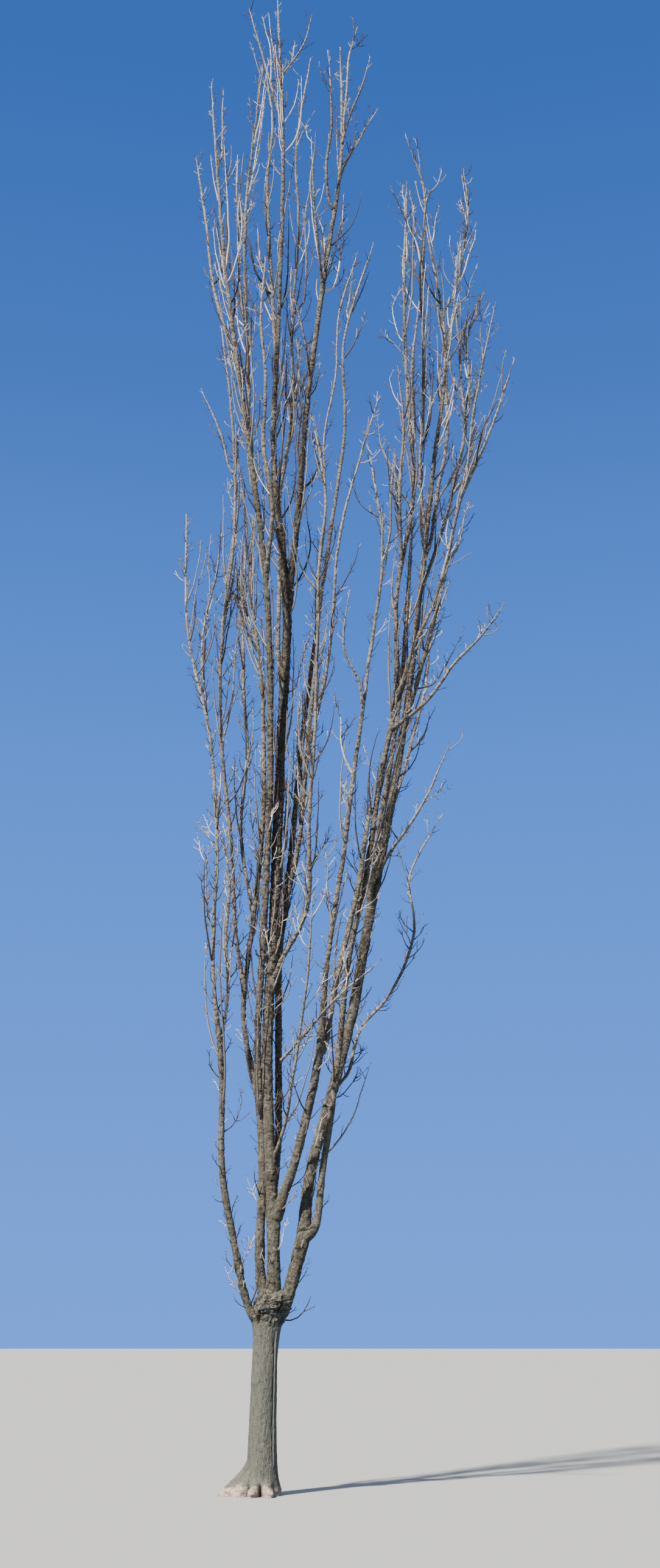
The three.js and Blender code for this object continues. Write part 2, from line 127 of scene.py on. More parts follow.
# name, what it grows from, height on that one's axis, radii in mm at even stations, places of its axis
LIMBS = [
    ("leader", "trunk", 1.95, (76, 74, 68, 67, 66, 65, 63, 43, 31, 28, 15), ((0.1, -0.01, 2.51), (0.04, -0.01, 3.66), (-0.01, -0.01, 5.08), (0.06, 0, 6.84), (0.1, 0.03, 8.85), (0.17, 0.04, 11.05), (-0.04, 0.01, 13.5), (0.01, -0.02, 16.11), (0.04, -0.06, 18.93), (-0.08, -0.1, 21.92),)),
    ("bough_inner_left", "trunk", 1.91, (60, 58, 50, 43, 43, 42, 41, 36, 24, 12), ((-0.06, 0.01, 2.45), (-0.05, 0, 3.63), (-0.13, -0.03, 5.06), (-0.06, -0.1, 6.85), (-0.02, -0.18, 8.87), (-0.09, -0.43, 11.12), (-0.4, -0.78, 13.54), (-0.75, -0.99, 16.19), (-0.99, -1.17, 19.03),)),
    ("bough_low_left", "trunk", 1.75, (46, 45, 43, 40, 36, 23, 22, 20, 16, 11), ((-0.19, -0.06, 2.01), (-0.36, -0.14, 2.7), (-0.52, -0.26, 3.58), (-0.54, -0.38, 4.68), (-0.67, -0.52, 5.92), (-0.65, -0.59, 7.33), (-0.77, -0.65, 8.85), (-1.12, -0.62, 10.48), (-1.2, -0.5, 12.24),)),
    ("shoot_low_left_twin", "bough_low_left", 4.95, (21, 20, 19, 17, 13), ((-0.49, -0.31, 5.66), (-0.54, -0.23, 6.39), (-0.51, -0.16, 7.12), (-0.65, -0.1, 7.82),)),
    ("shoot_left_tall", "bough_low_left", 9.09, (20, 19, 17, 15, 11), ((-0.92, -0.49, 10), (-0.91, -0.35, 10.73), (-0.79, -0.24, 11.44), (-0.75, -0.15, 12.11),)),
    ("bough_mid_left", "bough_inner_left", 4.34, (33, 33, 32, 32, 29, 24, 19, 14), ((-0.32, 0.12, 5.48), (-0.22, 0.1, 6.68), (-0.12, 0.07, 7.87), (-0.12, 0.07, 9.06), (-0.18, 0.09, 10.25), (-0.34, 0.14, 11.43), (-0.33, 0.21, 12.61),)),
    ("bough_outer_left", "bough_mid_left", 5.79, (28, 27, 27, 25, 23, 21, 19, 14), ((-0.44, 0.1, 6.52), (-0.52, 0.05, 7.75), (-0.68, 0.05, 9.1), (-0.72, 0.12, 10.67), (-0.59, 0.23, 12.33), (-0.66, 0.4, 14.16), (-0.88, 0.59, 16.05),)),
    ("shoot_left_crest", "bough_outer_left", 13.38, (20, 19, 18, 12), ((-0.7, 0.3, 13.52), (-0.81, 0.21, 13.96), (-1.08, 0.1, 14.59),)),
    ("shoot_green_tip", "bough_inner_left", 17.71, (20, 20, 19, 12), ((-0.83, -0.98, 17.92), (-0.84, -0.81, 18.48), (-0.86, -0.68, 19.4),)),
    ("bough_green_fork", "bough_inner_left", 11.32, (30, 28, 25, 22, 19, 13), ((-0.01, -0.79, 12.14), (-0.14, -0.88, 13.12), (-0.12, -0.98, 14.05), (-0.2, -1.08, 15.01), (-0.15, -1.17, 15.95),)),
    ("bough_far_left", "bough_inner_left", 14.42, (24, 22, 18, 12), ((-0.91, -0.49, 15.92), (-1.08, -0.45, 17.22), (-1.26, -0.34, 18.44),)),
    ("bough_green_inner", "bough_inner_left", 12.28, (30, 30, 27, 22, 13), ((-0.36, -0.41, 13.18), (-0.43, -0.21, 15.08), (-0.51, -0.18, 17.45), (-0.3, -0.23, 20.36),)),
    ("shoot_green_inner", "bough_green_inner", 15.57, (21, 20, 12), ((-0.58, -0.09, 16.43), (-0.69, 0.12, 18.81),)),
    ("bough_leader_left", "leader", 15, (32, 30, 27, 23, 19, 13), ((-0.11, 0.2, 16.52), (-0.18, 0.32, 17.73), (-0.22, 0.45, 18.9), (-0.16, 0.56, 20.01), (-0.28, 0.68, 21.08),)),
    ("bough_behind", "leader", 9.85, (39, 30, 29, 29, 28, 23, 20, 17, 14), ((0.05, 0.2, 10.57), (0.06, 0.36, 11.82), (0.04, 0.5, 13.18), (0.21, 0.7, 14.75), (0.17, 0.91, 16.45), (0.26, 1.1, 18.3), (0.21, 1.28, 20.24), (0.43, 1.45, 22.26),)),
    ("shoot_behind", "bough_behind", 14.79, (20, 20, 19, 13), ((0.2, 0.75, 14.98), (0.27, 0.88, 15.47), (0.31, 1.08, 16.23),)),
    ("shoot_top_left", "leader", 19.41, (18, 17, 12), ((-0.3, 0.1, 20.89), (-0.55, 0.23, 22.07),)),
    ("shoot_top_right", "leader", 20.38, (16, 16, 15, 12), ((0.16, -0.13, 20.6), (0.36, -0.22, 20.91), (0.46, -0.34, 21.28),)),
    ("bough_partner", "leader", 11, (58, 46, 39, 36, 22, 13), ((0.31, -0.19, 12.36), (0.45, -0.33, 14.26), (0.68, -0.46, 16.23), (0.93, -0.51, 18.35), (0.92, -0.42, 20.58),)),
    ("shoot_partner_left", "bough_partner", 17.38, (26, 26, 24, 20, 12), ((0.75, -0.55, 17.53), (0.71, -0.7, 18), (0.79, -0.88, 18.7), (0.75, -1.08, 19.66),)),
    ("shoot_partner_high", "bough_partner", 18.09, (20, 20, 18, 16, 12), ((0.97, -0.32, 19.11), (1.02, -0.18, 19.93), (1.06, -0.06, 20.72), (1.19, 0.05, 21.47),)),
    ("shoot_partner_mid", "bough_partner", 18.59, (21, 19, 16, 11), ((1.06, -0.73, 18.94), (1.23, -0.85, 19.35), (1.36, -0.97, 19.77),)),
    ("shoot_partner_right", "bough_partner", 17.95, (20, 20, 12), ((1.05, -0.21, 18.65), (1.5, 0.31, 20.04),)),
    ("shoot_partner_front", "bough_partner", 16.07, (21, 19, 16, 11), ((0.57, -0.91, 16.75), (0.52, -1.15, 17.38), (0.55, -1.38, 17.98),)),
    ("shoot_partner_inner", "bough_partner", 14.56, (19, 18, 12), ((0.42, -0.68, 14.89), (0.27, -0.94, 15.44),)),
    ("bough_elbow", "leader", 5.77, (30, 29, 28, 24, 20, 13), ((0.16, -0.1, 6.11), (0.49, -0.26, 6.81), (0.5, -0.55, 7.82), (0.57, -0.73, 9.06), (0.61, -0.86, 10.5),)),
    ("bough_dark", "leader", 3.27, (45, 45, 44, 43, 39, 35, 30, 28, 23, 18, 13), ((0.13, 0.12, 3.92), (0.12, 0.16, 5.05), (0.12, 0.2, 6.29), (0.26, 0.29, 7.72), (0.38, 0.43, 9.26), (0.56, 0.6, 10.91), (0.76, 0.77, 12.65), (0.98, 0.94, 14.49), (1, 1.11, 16.36), (1.46, 1.31, 18.26),)),
    ("bough_lit", "bough_dark", 6.68, (33, 32, 28, 25, 21, 18, 13), ((0.38, -0.03, 7.84), (0.47, -0.18, 9.06), (0.59, -0.28, 10.27), (0.61, -0.33, 11.5), (0.7, -0.3, 12.71), (0.52, -0.27, 13.93),)),
    ("shoot_lit_high", "bough_lit", 12.68, (21, 21, 18, 16, 12), ((0.69, -0.51, 13.52), (0.85, -0.7, 14.37), (0.89, -0.87, 15.22), (1.12, -1.03, 16.04),)),
    ("stub_broken", "bough_dark", 11.17, (39, 37, 35), ((0.57, 0.43, 11.52), (0.69, 0.23, 12.58),)),
    ("bough_lit_right", "bough_lit", 8.81, (25, 23, 18, 11), ((0.75, -0.64, 10.04), (0.91, -0.95, 11.77), (1.41, -1.24, 13.58),)),
    ("shoot_centre_thin", "leader", 3.6, (20, 20, 18, 15, 10), ((0.21, -0.16, 4.05), (0.35, -0.46, 4.78), (0.48, -0.77, 5.63), (0.55, -0.99, 6.65),)),
    ("shoot_diagonal", "bough_dark", 4.86, (19, 17, 14, 10), ((0.51, -0.47, 5.16), (0.86, -0.89, 5.48), (1.33, -1.1, 5.83),)),
    ("bough_right_inner", "leader", 2.91, (61, 58, 50, 31, 29, 27, 23, 18, 12), ((0.36, -0.17, 3.71), (0.62, -0.34, 4.83), (0.73, -0.49, 6.02), (0.93, -0.61, 7.32), (1.1, -0.67, 8.68), (1.29, -0.7, 10.09), (1.47, -0.77, 11.55), (1.3, -0.86, 13.03),)),
    ("bough_right_twin", "bough_right_inner", 4.86, (48, 47, 46, 34, 24), ((0.72, -0.27, 5.11), (0.85, -0.19, 5.87), (1.1, -0.11, 6.97), (1.33, 0.03, 8.48),)),
    ("shoot_right_inner", "bough_right_inner", 9.32, (18, 17, 15, 11), ((1.13, -0.8, 9.63), (0.94, -0.97, 10.07), (1, -1.17, 10.63),)),
    ("shoot_right_inner_high", "bough_right_inner", 11.35, (18, 18, 16, 11), ((1.56, -0.84, 11.75), (1.58, -1, 12.26), (1.63, -1.17, 12.81),)),
    ("bough_right", "trunk", 1.83, (81, 80, 78, 75, 67, 65, 65, 64, 52, 48, 39, 31, 24, 13), ((0.16, 0.02, 1.89), (0.31, 0.04, 2.25), (0.44, 0.1, 2.82), (0.53, 0.2, 3.58), (0.78, 0.35, 4.5), (1.05, 0.49, 5.57), (1.28, 0.56, 6.84), (1.56, 0.58, 8.26), (1.82, 0.57, 9.85), (2.04, 0.48, 11.57), (2.26, 0.36, 13.5), (2.48, 0.25, 15.52), (2.23, 0.15, 17.69),)),
    ("bough_right_middle", "bough_right", 6.9, (36, 35, 35, 29, 26), ((1.31, 0.44, 7.31), (1.5, 0.23, 8.42), (1.74, 0.15, 10.11), (1.92, 0, 12.39),)),
    ("bough_right_crest", "bough_right", 12.4, (28, 27, 26, 25, 24, 21, 16, 12), ((2.06, 0.26, 13.3), (2.11, 0.14, 14.23), (2.14, 0.05, 15.15), (2.14, -0.03, 16.08), (2.17, -0.12, 17.01), (2.19, -0.25, 17.93), (1.93, -0.44, 18.79),)),
    ("shoot_right_crest", "bough_right_crest", 17.65, (16, 16, 16, 12), ((2.26, -0.05, 18.05), (2.42, 0.04, 18.35), (2.48, 0.12, 18.65),)),
    ("bough_right_side", "bough_right", 12.12, (27, 26, 26, 25, 23, 17), ((2.23, 0.51, 12.5), (2.33, 0.64, 13.28), (2.51, 0.76, 14.3), (2.54, 0.86, 15.53), (2.72, 0.97, 16.95),)),
    ("shoot_right_peak", "bough_right", 16.1, (24, 23, 21, 18, 13), ((2.73, 0.49, 16.82), (2.85, 0.61, 17.64), (2.96, 0.73, 18.46), (2.92, 0.83, 19.28),)),
    ("bough_right_back", "bough_right", 11.55, (26, 25, 25, 25, 22, 17, 13), ((2.4, 0.71, 12.7), (2.62, 0.85, 13.65), (2.8, 0.96, 14.57), (2.78, 1.07, 15.47), (2.78, 1.17, 16.33), (2.73, 1.27, 17.16),)),
    ("shoot_right_back", "bough_right_back", 14.33, (19, 19, 18, 17, 13), ((2.88, 1.04, 15.06), (2.91, 1.15, 15.78), (2.94, 1.25, 16.51), (3.25, 1.35, 17.17),)),
    ("bough_right_far", "bough_right", 9.51, (35, 31, 28, 23, 18, 12), ((2.07, 0.27, 10.5), (2.34, 0.1, 11.57), (2.58, -0.07, 12.65), (3.01, -0.26, 13.66), (3.36, -0.54, 14.67),)),
    ("shoot_right_far", "bough_right_far", 12.91, (24, 20, 12), ((2.79, -0.53, 13.93), (3.07, -1.03, 15.24),)),
    ("shoot_right_bow", "bough_right", 8.06, (23, 22, 19, 17, 12), ((1.84, 0.86, 9.24), (2.09, 0.97, 10.21), (2.23, 1.08, 11.17), (2.49, 1.17, 12.03),)),
    ("shoot_right_low", "bough_right", 4.58, (21, 21, 21, 20, 18, 16, 11), ((1, 0.57, 4.84), (1.16, 0.88, 5.43), (1.58, 1.07, 5.97), (1.89, 1.17, 6.77), (1.86, 1.27, 7.63), (2.31, 1.38, 8.52),)),
    ("shoot_right_heart", "bough_right", 7.46, (23, 22, 17, 11), ((1.6, 0.26, 7.71), (1.97, -0.02, 8.21), (2.3, -0.34, 8.87),)),
    ("bough_left_fork", "bough_mid_left", 6.74, (26, 26, 24, 22, 20, 18, 13), ((-0.41, 0.3, 7.9), (-0.36, 0.48, 9.1), (-0.44, 0.61, 10.3), (-0.48, 0.69, 11.5), (-0.46, 0.76, 12.72), (-0.59, 0.83, 13.9),)),
    ("bough_right_lit", "bough_right", 2.74, (47, 44, 41, 40, 39, 38, 37, 37, 36, 32, 31, 26, 22, 12), ((0.6, 0.06, 2.95), (0.67, 0.05, 3.52), (0.78, 0.04, 4.24), (0.89, 0.04, 5.15), (1, 0.04, 6.15), (1.23, 0.03, 7.27), (1.41, 0.02, 8.5), (1.65, 0, 9.83), (1.68, -0.05, 11.27), (1.93, -0.12, 12.78), (1.87, -0.22, 14.38), (1.85, -0.36, 16.06), (1.91, -0.54, 17.79),)),
    ("shoot_inner_left", "bough_mid_left", 10.54, (23, 22, 13), ((-0.33, 0.14, 10.88), (-0.56, 0.44, 11.82),)),
    ("shoot_right_fork", "bough_right_lit", 17.23, (17, 16, 11), ((1.78, -0.7, 17.31), (1.69, -0.86, 17.39),)),
    ("shoot_right_mid", "bough_right_lit", 13.53, (27, 26, 23, 15), ((1.96, -0.34, 13.83), (1.92, -0.63, 14.48), (2.01, -0.86, 15.38),)),
    ("shoot_right_left", "bough_right_lit", 11.73, (24, 21, 17, 12), ((1.73, -0.45, 12.72), (1.79, -0.6, 13.6), (1.72, -0.76, 14.43),)),
    ("bough_right_arch", "bough_right_lit", 9.25, (27, 24, 20, 16, 11), ((2.05, -0.25, 9.59), (2.38, -0.45, 10), (2.74, -0.66, 10.32), (3.01, -0.83, 10.66),)),
    ("bough_right_slant", "bough_right_lit", 9.71, (30, 29, 27, 23, 15), ((1.73, -0.08, 9.9), (1.9, -0.18, 10.43), (2.23, -0.21, 11.21), (2.49, -0.1, 12.32),)),
]
# Long thin shoots between the boughs, by the same rule; they have no solids of their own.
SHOOTS = [
    ("strand_behind", "bough_behind", 16.64, (20, 16, 10), ((0.32, 0.92, 16.77), (0.37, 0.92, 16.91), (0.39, 0.90, 17.60), (0.38, 0.89, 18.18), (0.39, 0.89, 18.63), (0.46, 0.88, 19.13),)),
    ("strand_partner_low", "bough_partner", 15.98, (18, 14, 9), ((0.67, -0.40, 16.21), (0.68, -0.35, 16.69), (0.66, -0.32, 17.16), (0.59, -0.30, 17.41),)),
    ("strand_partner_out", "bough_partner", 15.97, (19, 15, 9), ((0.79, -0.40, 16.07), (0.84, -0.39, 16.15), (0.91, -0.35, 16.53), (0.94, -0.31, 17.05), (0.96, -0.27, 17.82),)),
    ("strand_arc", "bough_leader_left", 16.41, (18, 15, 9), ((-0.18, 0.16, 16.46), (-0.29, 0.13, 16.64), (-0.38, 0.11, 16.83), (-0.46, 0.08, 17.27), (-0.58, 0.06, 17.56), (-0.64, 0.05, 17.86), (-0.68, 0.04, 18.03),)),
    ("strand_arc_inner", "bough_leader_left", 16.83, (16, 13, 8), ((-0.22, 0.27, 16.96), (-0.29, 0.29, 17.10), (-0.34, 0.34, 17.60), (-0.36, 0.35, 17.82),)),
    ("strand_inner", "bough_inner_left", 11.74, (15, 12, 7), ((-0.15, -0.48, 11.93), (-0.14, -0.46, 12.13), (-0.15, -0.43, 12.53), (-0.16, -0.40, 13.03),)),
    ("strand_inner_twin", "bough_inner_left", 15.51, (15, 12, 8), ((-0.77, -0.91, 15.63), (-0.80, -0.89, 15.77), (-0.82, -0.85, 16.17), (-0.83, -0.82, 16.52),)),
    ("strand_dark", "bough_dark", 16.69, (17, 14, 9), ((1.02, 1.18, 16.86), (1.05, 1.20, 17.04), (1.10, 1.23, 17.42), (1.14, 1.26, 17.89),)),
    ("strand_partner_side", "bough_partner", 12.79, (21, 17, 11), ((0.43, -0.18, 12.89), (0.52, -0.15, 13.03), (0.60, -0.12, 13.26), (0.66, -0.09, 13.52),)),
    ("strand_partner_side_low", "bough_partner", 12.45, (19, 15, 9), ((0.39, -0.25, 12.52), (0.47, -0.28, 12.69), (0.55, -0.32, 12.93),)),
    ("strand_partner_hug", "bough_partner", 13.10, (21, 17, 11), ((0.33, -0.23, 13.22), (0.30, -0.20, 13.45), (0.33, -0.16, 13.88), (0.37, -0.14, 14.30), (0.39, -0.12, 14.52),)),
    ("strand_right_left", "shoot_right_left", 12.59, (18, 15, 9), ((1.71, -0.45, 12.77), (1.63, -0.47, 12.98), (1.56, -0.49, 13.13), (1.50, -0.50, 13.28), (1.47, -0.51, 13.38), (1.44, -0.53, 13.70),)),
    ("strand_right_cross", "bough_right", 16.26, (16, 13, 8), ((2.34, 0.14, 16.31), (2.26, 0.09, 16.44), (2.21, 0.06, 16.56), (2.18, 0.03, 16.67),)),
    ("strand_crest_low", "bough_right_crest", 16.37, (17, 14, 9), ((2.05, 0.02, 16.65), (1.99, 0.04, 16.83), (1.96, 0.06, 16.97), (1.96, 0.09, 17.28),)),
    ("strand_crest_mid", "bough_right_crest", 16.56, (16, 13, 8), ((2.11, -0.14, 16.81), (2.06, -0.17, 17.06), (1.95, -0.19, 17.32), (1.91, -0.21, 17.58),)),
    ("strand_crest_arc", "bough_right_crest", 17.13, (16, 12, 8), ((2.11, -0.10, 17.22), (2.05, -0.07, 17.39), (2.03, -0.03, 17.68), (2.02, -0.01, 17.93), (1.99, 0.01, 18.11),)),
    ("strand_outer_tip", "bough_right", 17.36, (14, 11, 7), ((2.33, 0.19, 17.42), (2.35, 0.20, 17.50), (2.39, 0.24, 17.84), (2.44, 0.27, 18.09),)),
    ("strand_peak_inner", "shoot_right_peak", 16.47, (14, 11, 7), ((2.66, 0.40, 16.55), (2.70, 0.44, 16.90), (2.74, 0.47, 17.41), (2.78, 0.49, 17.67),)),
    ("strand_peak_outer", "shoot_right_peak", 16.89, (15, 12, 7), ((2.80, 0.47, 16.99), (2.85, 0.45, 17.13), (2.91, 0.42, 17.36), (2.99, 0.40, 17.60), (3.01, 0.39, 17.74),)),
    ("strand_back_hook", "bough_right_back", 16.93, (16, 13, 8), ((2.83, 1.20, 17.05), (2.94, 1.17, 17.16), (2.97, 1.16, 17.28), (3.00, 1.14, 17.44), (3.08, 1.12, 17.63),)),
    ("strand_back_far", "bough_right_back", 13.35, (22, 17, 11), ((2.66, 0.85, 13.52), (2.78, 0.87, 13.68), (2.86, 0.89, 13.82), (2.94, 0.90, 14.00), (3.00, 0.92, 14.18), (3.07, 0.93, 14.38),)),
    ("strand_side_low", "bough_right_side", 13.04, (18, 14, 9), ((2.38, 0.66, 13.25), (2.52, 0.69, 13.50), (2.61, 0.71, 13.72), (2.69, 0.73, 13.92), (2.74, 0.74, 14.11),)),
    ("strand_middle_fork", "bough_right_lit", 12.51, (17, 14, 9), ((1.87, -0.16, 12.61), (1.80, -0.18, 12.72), (1.70, -0.20, 12.81), (1.64, -0.22, 12.94), (1.58, -0.25, 13.12),)),
    ("strand_low_left_out", "bough_low_left", 6.30, (13, 11, 7), ((-0.73, -0.60, 6.51), (-0.77, -0.64, 6.81), (-0.78, -0.66, 7.11), (-0.76, -0.68, 7.39),)),
    ("strand_elbow_top", "bough_elbow", 8.47, (14, 11, 7), ((0.50, -0.73, 8.71), (0.44, -0.76, 8.95), (0.41, -0.79, 9.23), (0.43, -0.82, 9.52),)),
    ("strand_inner_right", "bough_right_inner", 6.45, (14, 11, 7), ((0.76, -0.59, 6.67), (0.73, -0.63, 6.93), (0.73, -0.65, 7.20), (0.68, -0.68, 7.47),)),
    ("strand_inner_right_high", "bough_right_inner", 8.37, (14, 11, 7), ((0.95, -0.73, 8.59), (0.90, -0.76, 8.83), (0.90, -0.79, 9.11), (0.83, -0.81, 9.35),)),
    ("strand_lit_low", "bough_lit", 8.33, (13, 11, 7), ((0.37, -0.16, 8.59), (0.33, -0.19, 8.88), (0.34, -0.22, 9.17),)),
    ("strand_right_bow_out", "shoot_right_bow", 9.29, (14, 11, 7), ((1.98, 0.91, 9.43), (2.08, 0.93, 9.60), (2.14, 0.95, 9.79), (2.22, 0.97, 9.95),)),
    ("strand_left_fork_out", "bough_left_fork", 8.99, (14, 11, 7), ((-0.30, 0.39, 9.20), (-0.27, 0.34, 9.45), (-0.28, 0.31, 9.74),)),
    ("strand_outer_left_out", "bough_outer_left", 7.95, (13, 10, 7), ((-0.64, 0.11, 8.14), (-0.72, 0.14, 8.30), (-0.77, 0.17, 8.46),)),
    ("strand_far_low", "bough_right_far", 11.81, (17, 14, 8), ((2.52, 0.12, 12.02), (2.62, 0.15, 12.28), (2.67, 0.18, 12.59), (2.76, 0.20, 12.84),)),
    ("side_green", "bough_inner_left", 16.92, (10, 7, 4), ((-0.8, -1.02, 17.05), (-0.77, -1.0, 17.16), (-0.73, -0.92, 17.52), (-0.69, -0.83, 17.94))),
    ("side_outer_left", "bough_outer_left", 9.37, (10, 7, 4), ((-0.62, 0.01, 9.7), (-0.61, -0.03, 9.94), (-0.56, -0.07, 10.16), (-0.49, -0.12, 10.45))),
    ("side_far_right", "bough_right_far", 10.04, (10, 7, 4), ((2.18, 0.4, 10.11), (2.35, 0.34, 10.35), (2.5, 0.28, 10.62), (2.58, 0.24, 10.79))),
    ("side_heart", "shoot_right_heart", 8.22, (9, 6, 4), ((2.14, 0.01, 8.36), (2.34, 0.12, 8.51))),
    ("side_crest", "bough_right_crest", 18.23, (9, 6, 4), ((2.13, -0.24, 18.57), (2.09, -0.16, 18.96))),
    ("side_leader_high", "leader", 20.31, (9, 7, 4), ((-0.09, -0.12, 20.47), (-0.1, -0.23, 21.03), (-0.1, -0.3, 21.35))),
    ("side_leader_elbow", "leader", 9.80, (10, 7, 4), ((0.24, -0.01, 9.83), (0.31, -0.04, 9.88), (0.36, -0.1, 10.08), (0.45, -0.22, 10.44))),
    ("side_left_fine", "bough_mid_left", 7.34, (10, 7, 4), ((-0.22, 0.03, 7.78), (-0.27, 0.0, 8.02), (-0.29, -0.05, 8.38), (-0.31, -0.11, 8.86))),
    ("side_green_tip", "bough_green_inner", 19.01, (8, 6, 4), ((-0.45, -0.27, 19.27), (-0.48, -0.35, 19.61))),
    ("side_behind_tip", "bough_behind", 20.24, (8, 6, 4), ((0.33, 1.18, 20.5), (0.47, 1.08, 20.73))),
    ("side_right_hook", "bough_right_lit", 15.21, (10, 7, 4), ((1.76, -0.27, 15.35), (1.69, -0.18, 15.88), (1.79, -0.1, 16.27))),
    ("side_mid_cross", "shoot_right_mid", 14.58, (8, 6, 4), ((1.92, -0.6, 14.62), (1.71, -0.54, 14.96), (1.53, -0.49, 15.21))),
    ("side_crest_right", "bough_right_crest", 14.10, (9, 6, 4), ((2.18, 0.12, 14.17), (2.26, 0.05, 14.45), (2.41, -0.03, 14.79))),
    ("side_cross", "bough_right_side", 14.50, (9, 6, 4), ((2.51, 0.77, 14.55), (2.31, 0.68, 14.9), (2.1, 0.58, 15.32))),
    ("side_peak_low", "shoot_right_peak", 17.48, (8, 6, 4), ((2.9, 0.56, 17.66), (3.01, 0.47, 17.88))),
    ("side_peak_high", "shoot_right_peak", 18.10, (8, 6, 4), ((2.9, 0.76, 18.4), (2.86, 0.83, 18.67))),
]


# ---- noise ---------------------------------------------------------------------------------
def lattice(i, j, k, seed):
    """A repeatable number from 0 to 1 for each whole-number place."""
    n = (i * 73856093) ^ (j * 19349663) ^ (k * 83492791) ^ (seed * 2654435761)
    n = n & 0xFFFFFFFF
    n = ((n ^ (n >> 16)) * 0x45D9F3B) & 0xFFFFFFFF
    n = ((n ^ (n >> 16)) * 0x45D9F3B) & 0xFFFFFFFF
    return ((n ^ (n >> 16)) & 0xFFFF) / 65535.0


def noise(p, seed):
    """Smooth noise from 0 to 1 at points p, with cells of 1."""
    q = np.floor(p)
    f = p - q
    f = f * f * (3 - 2 * f)
    q = q.astype(np.int64)
    out = np.zeros(len(p))
    for a in (0, 1):
        for b in (0, 1):
            for c in (0, 1):
                w = (f[:, 0] if a else 1 - f[:, 0]) * (f[:, 1] if b else 1 - f[:, 1]) * (f[:, 2] if c else 1 - f[:, 2])
                out += w * lattice(q[:, 0] + a, q[:, 1] + b, q[:, 2] + c, seed)
    return out


def wander(s, cell, seed):
    """Smooth noise from -1 to 1 along a line."""
    p = np.stack([s / cell, np.full_like(s, 0.5), np.full_like(s, 0.5)], 1)
    return 2 * noise(p, seed) - 1


def cracks(p, seed, width):
    """1 on the winding lines where the noise passes its middle, falling to 0 beside them."""
    v = 2 * noise(p, seed) - 1
    return np.exp(-((v / width) ** 2))


def smooth(x, low, high):
    t = np.clip((x - low) / (high - low), 0, 1)
    return t * t * (3 - 2 * t)


# ---- the solids' own curves ----------------------------------------------------------------
def along(points, u):
    """Points at u, from 0 to 1, on the even Catmull-Rom curve through points; its ends lean on mirrored points."""
    P = np.asarray(points, float)
    last = len(P) - 1
    Q = np.vstack([2 * P[0] - P[1], P, 2 * P[-1] - P[-2]])
    s = np.clip(u, 0, 1) * last
    i = np.minimum(np.floor(s).astype(int), last - 1)
    f = (s - i)[:, None]
    return ((-0.5 * f + f * f - 0.5 * f**3) * Q[i] + (1 - 2.5 * f * f + 1.5 * f**3) * Q[i + 1]
            + (0.5 * f + 2 * f * f - 1.5 * f**3) * Q[i + 2] + (-0.5 * f * f + 0.5 * f**3) * Q[i + 3])


def station(values, u):
    return np.interp(np.clip(u, 0, 1), np.linspace(0, 1, len(values)), values)


def bole_reach(deg, z):
    """How far the bole's plain surface lies from its centre, in a direction at a height."""
    hx, hy = (np.interp(z, BOLE[:, 0], BOLE[:, c]) for c in (2, 3))
    a = np.radians(deg)
    r = 1 / np.hypot(np.cos(a) / hx, np.sin(a) / hy)
    for toward, reach, height, half, back in TOES:
        side = np.abs((deg - toward + 540) % 360 - 180) / half
        fall = np.clip(1 - z / height, 0, 1)
        fall = (0.5 - 0.5 * np.cos(np.pi * fall)) ** 0.8 if back < 0.5 else fall**back
        r = r + reach * fall * np.exp(-side * side)
    for toward, at, size, out in BURLS:
        across = np.radians(np.abs((deg - toward + 540) % 360 - 180)) * 0.19
        r = r + out * np.exp(-(across**2 + (z - at) ** 2) / size**2)
    return r


# ---- meshes --------------------------------------------------------------------------------
def new_piece(name, verts, polys, values=None, uv=None):
    """A mesh object. polys is a list of whole-number arrays with one row for each face."""
    mesh = bpy.data.meshes.new(name)
    corners = np.concatenate([p.ravel() for p in polys]).astype(np.int32)
    sizes = np.concatenate([np.full(len(p), p.shape[1]) for p in polys])
    starts = np.concatenate([[0], np.cumsum(sizes)[:-1]]).astype(np.int32)
    mesh.vertices.add(len(verts))
    mesh.vertices.foreach_set("co", np.ascontiguousarray(verts, np.float32).ravel())
    mesh.loops.add(len(corners))
    mesh.loops.foreach_set("vertex_index", corners)
    mesh.polygons.add(len(sizes))
    mesh.polygons.foreach_set("loop_start", starts)
    mesh.update(calc_edges=True)
    for key, v in (values or {}).items():
        mesh.attributes.new(key, "FLOAT", "POINT").data.foreach_set("value", np.ascontiguousarray(v, np.float32).ravel())
    if uv is not None:
        mesh.uv_layers.new(name="OFBake").data.foreach_set("uv", np.ascontiguousarray(uv, np.float32).ravel())
    mesh.polygons.foreach_set("use_smooth", np.ones(len(sizes), bool))
    piece = bpy.data.objects.new(name, mesh)
    bpy.context.scene.collection.objects.link(piece)
    return piece


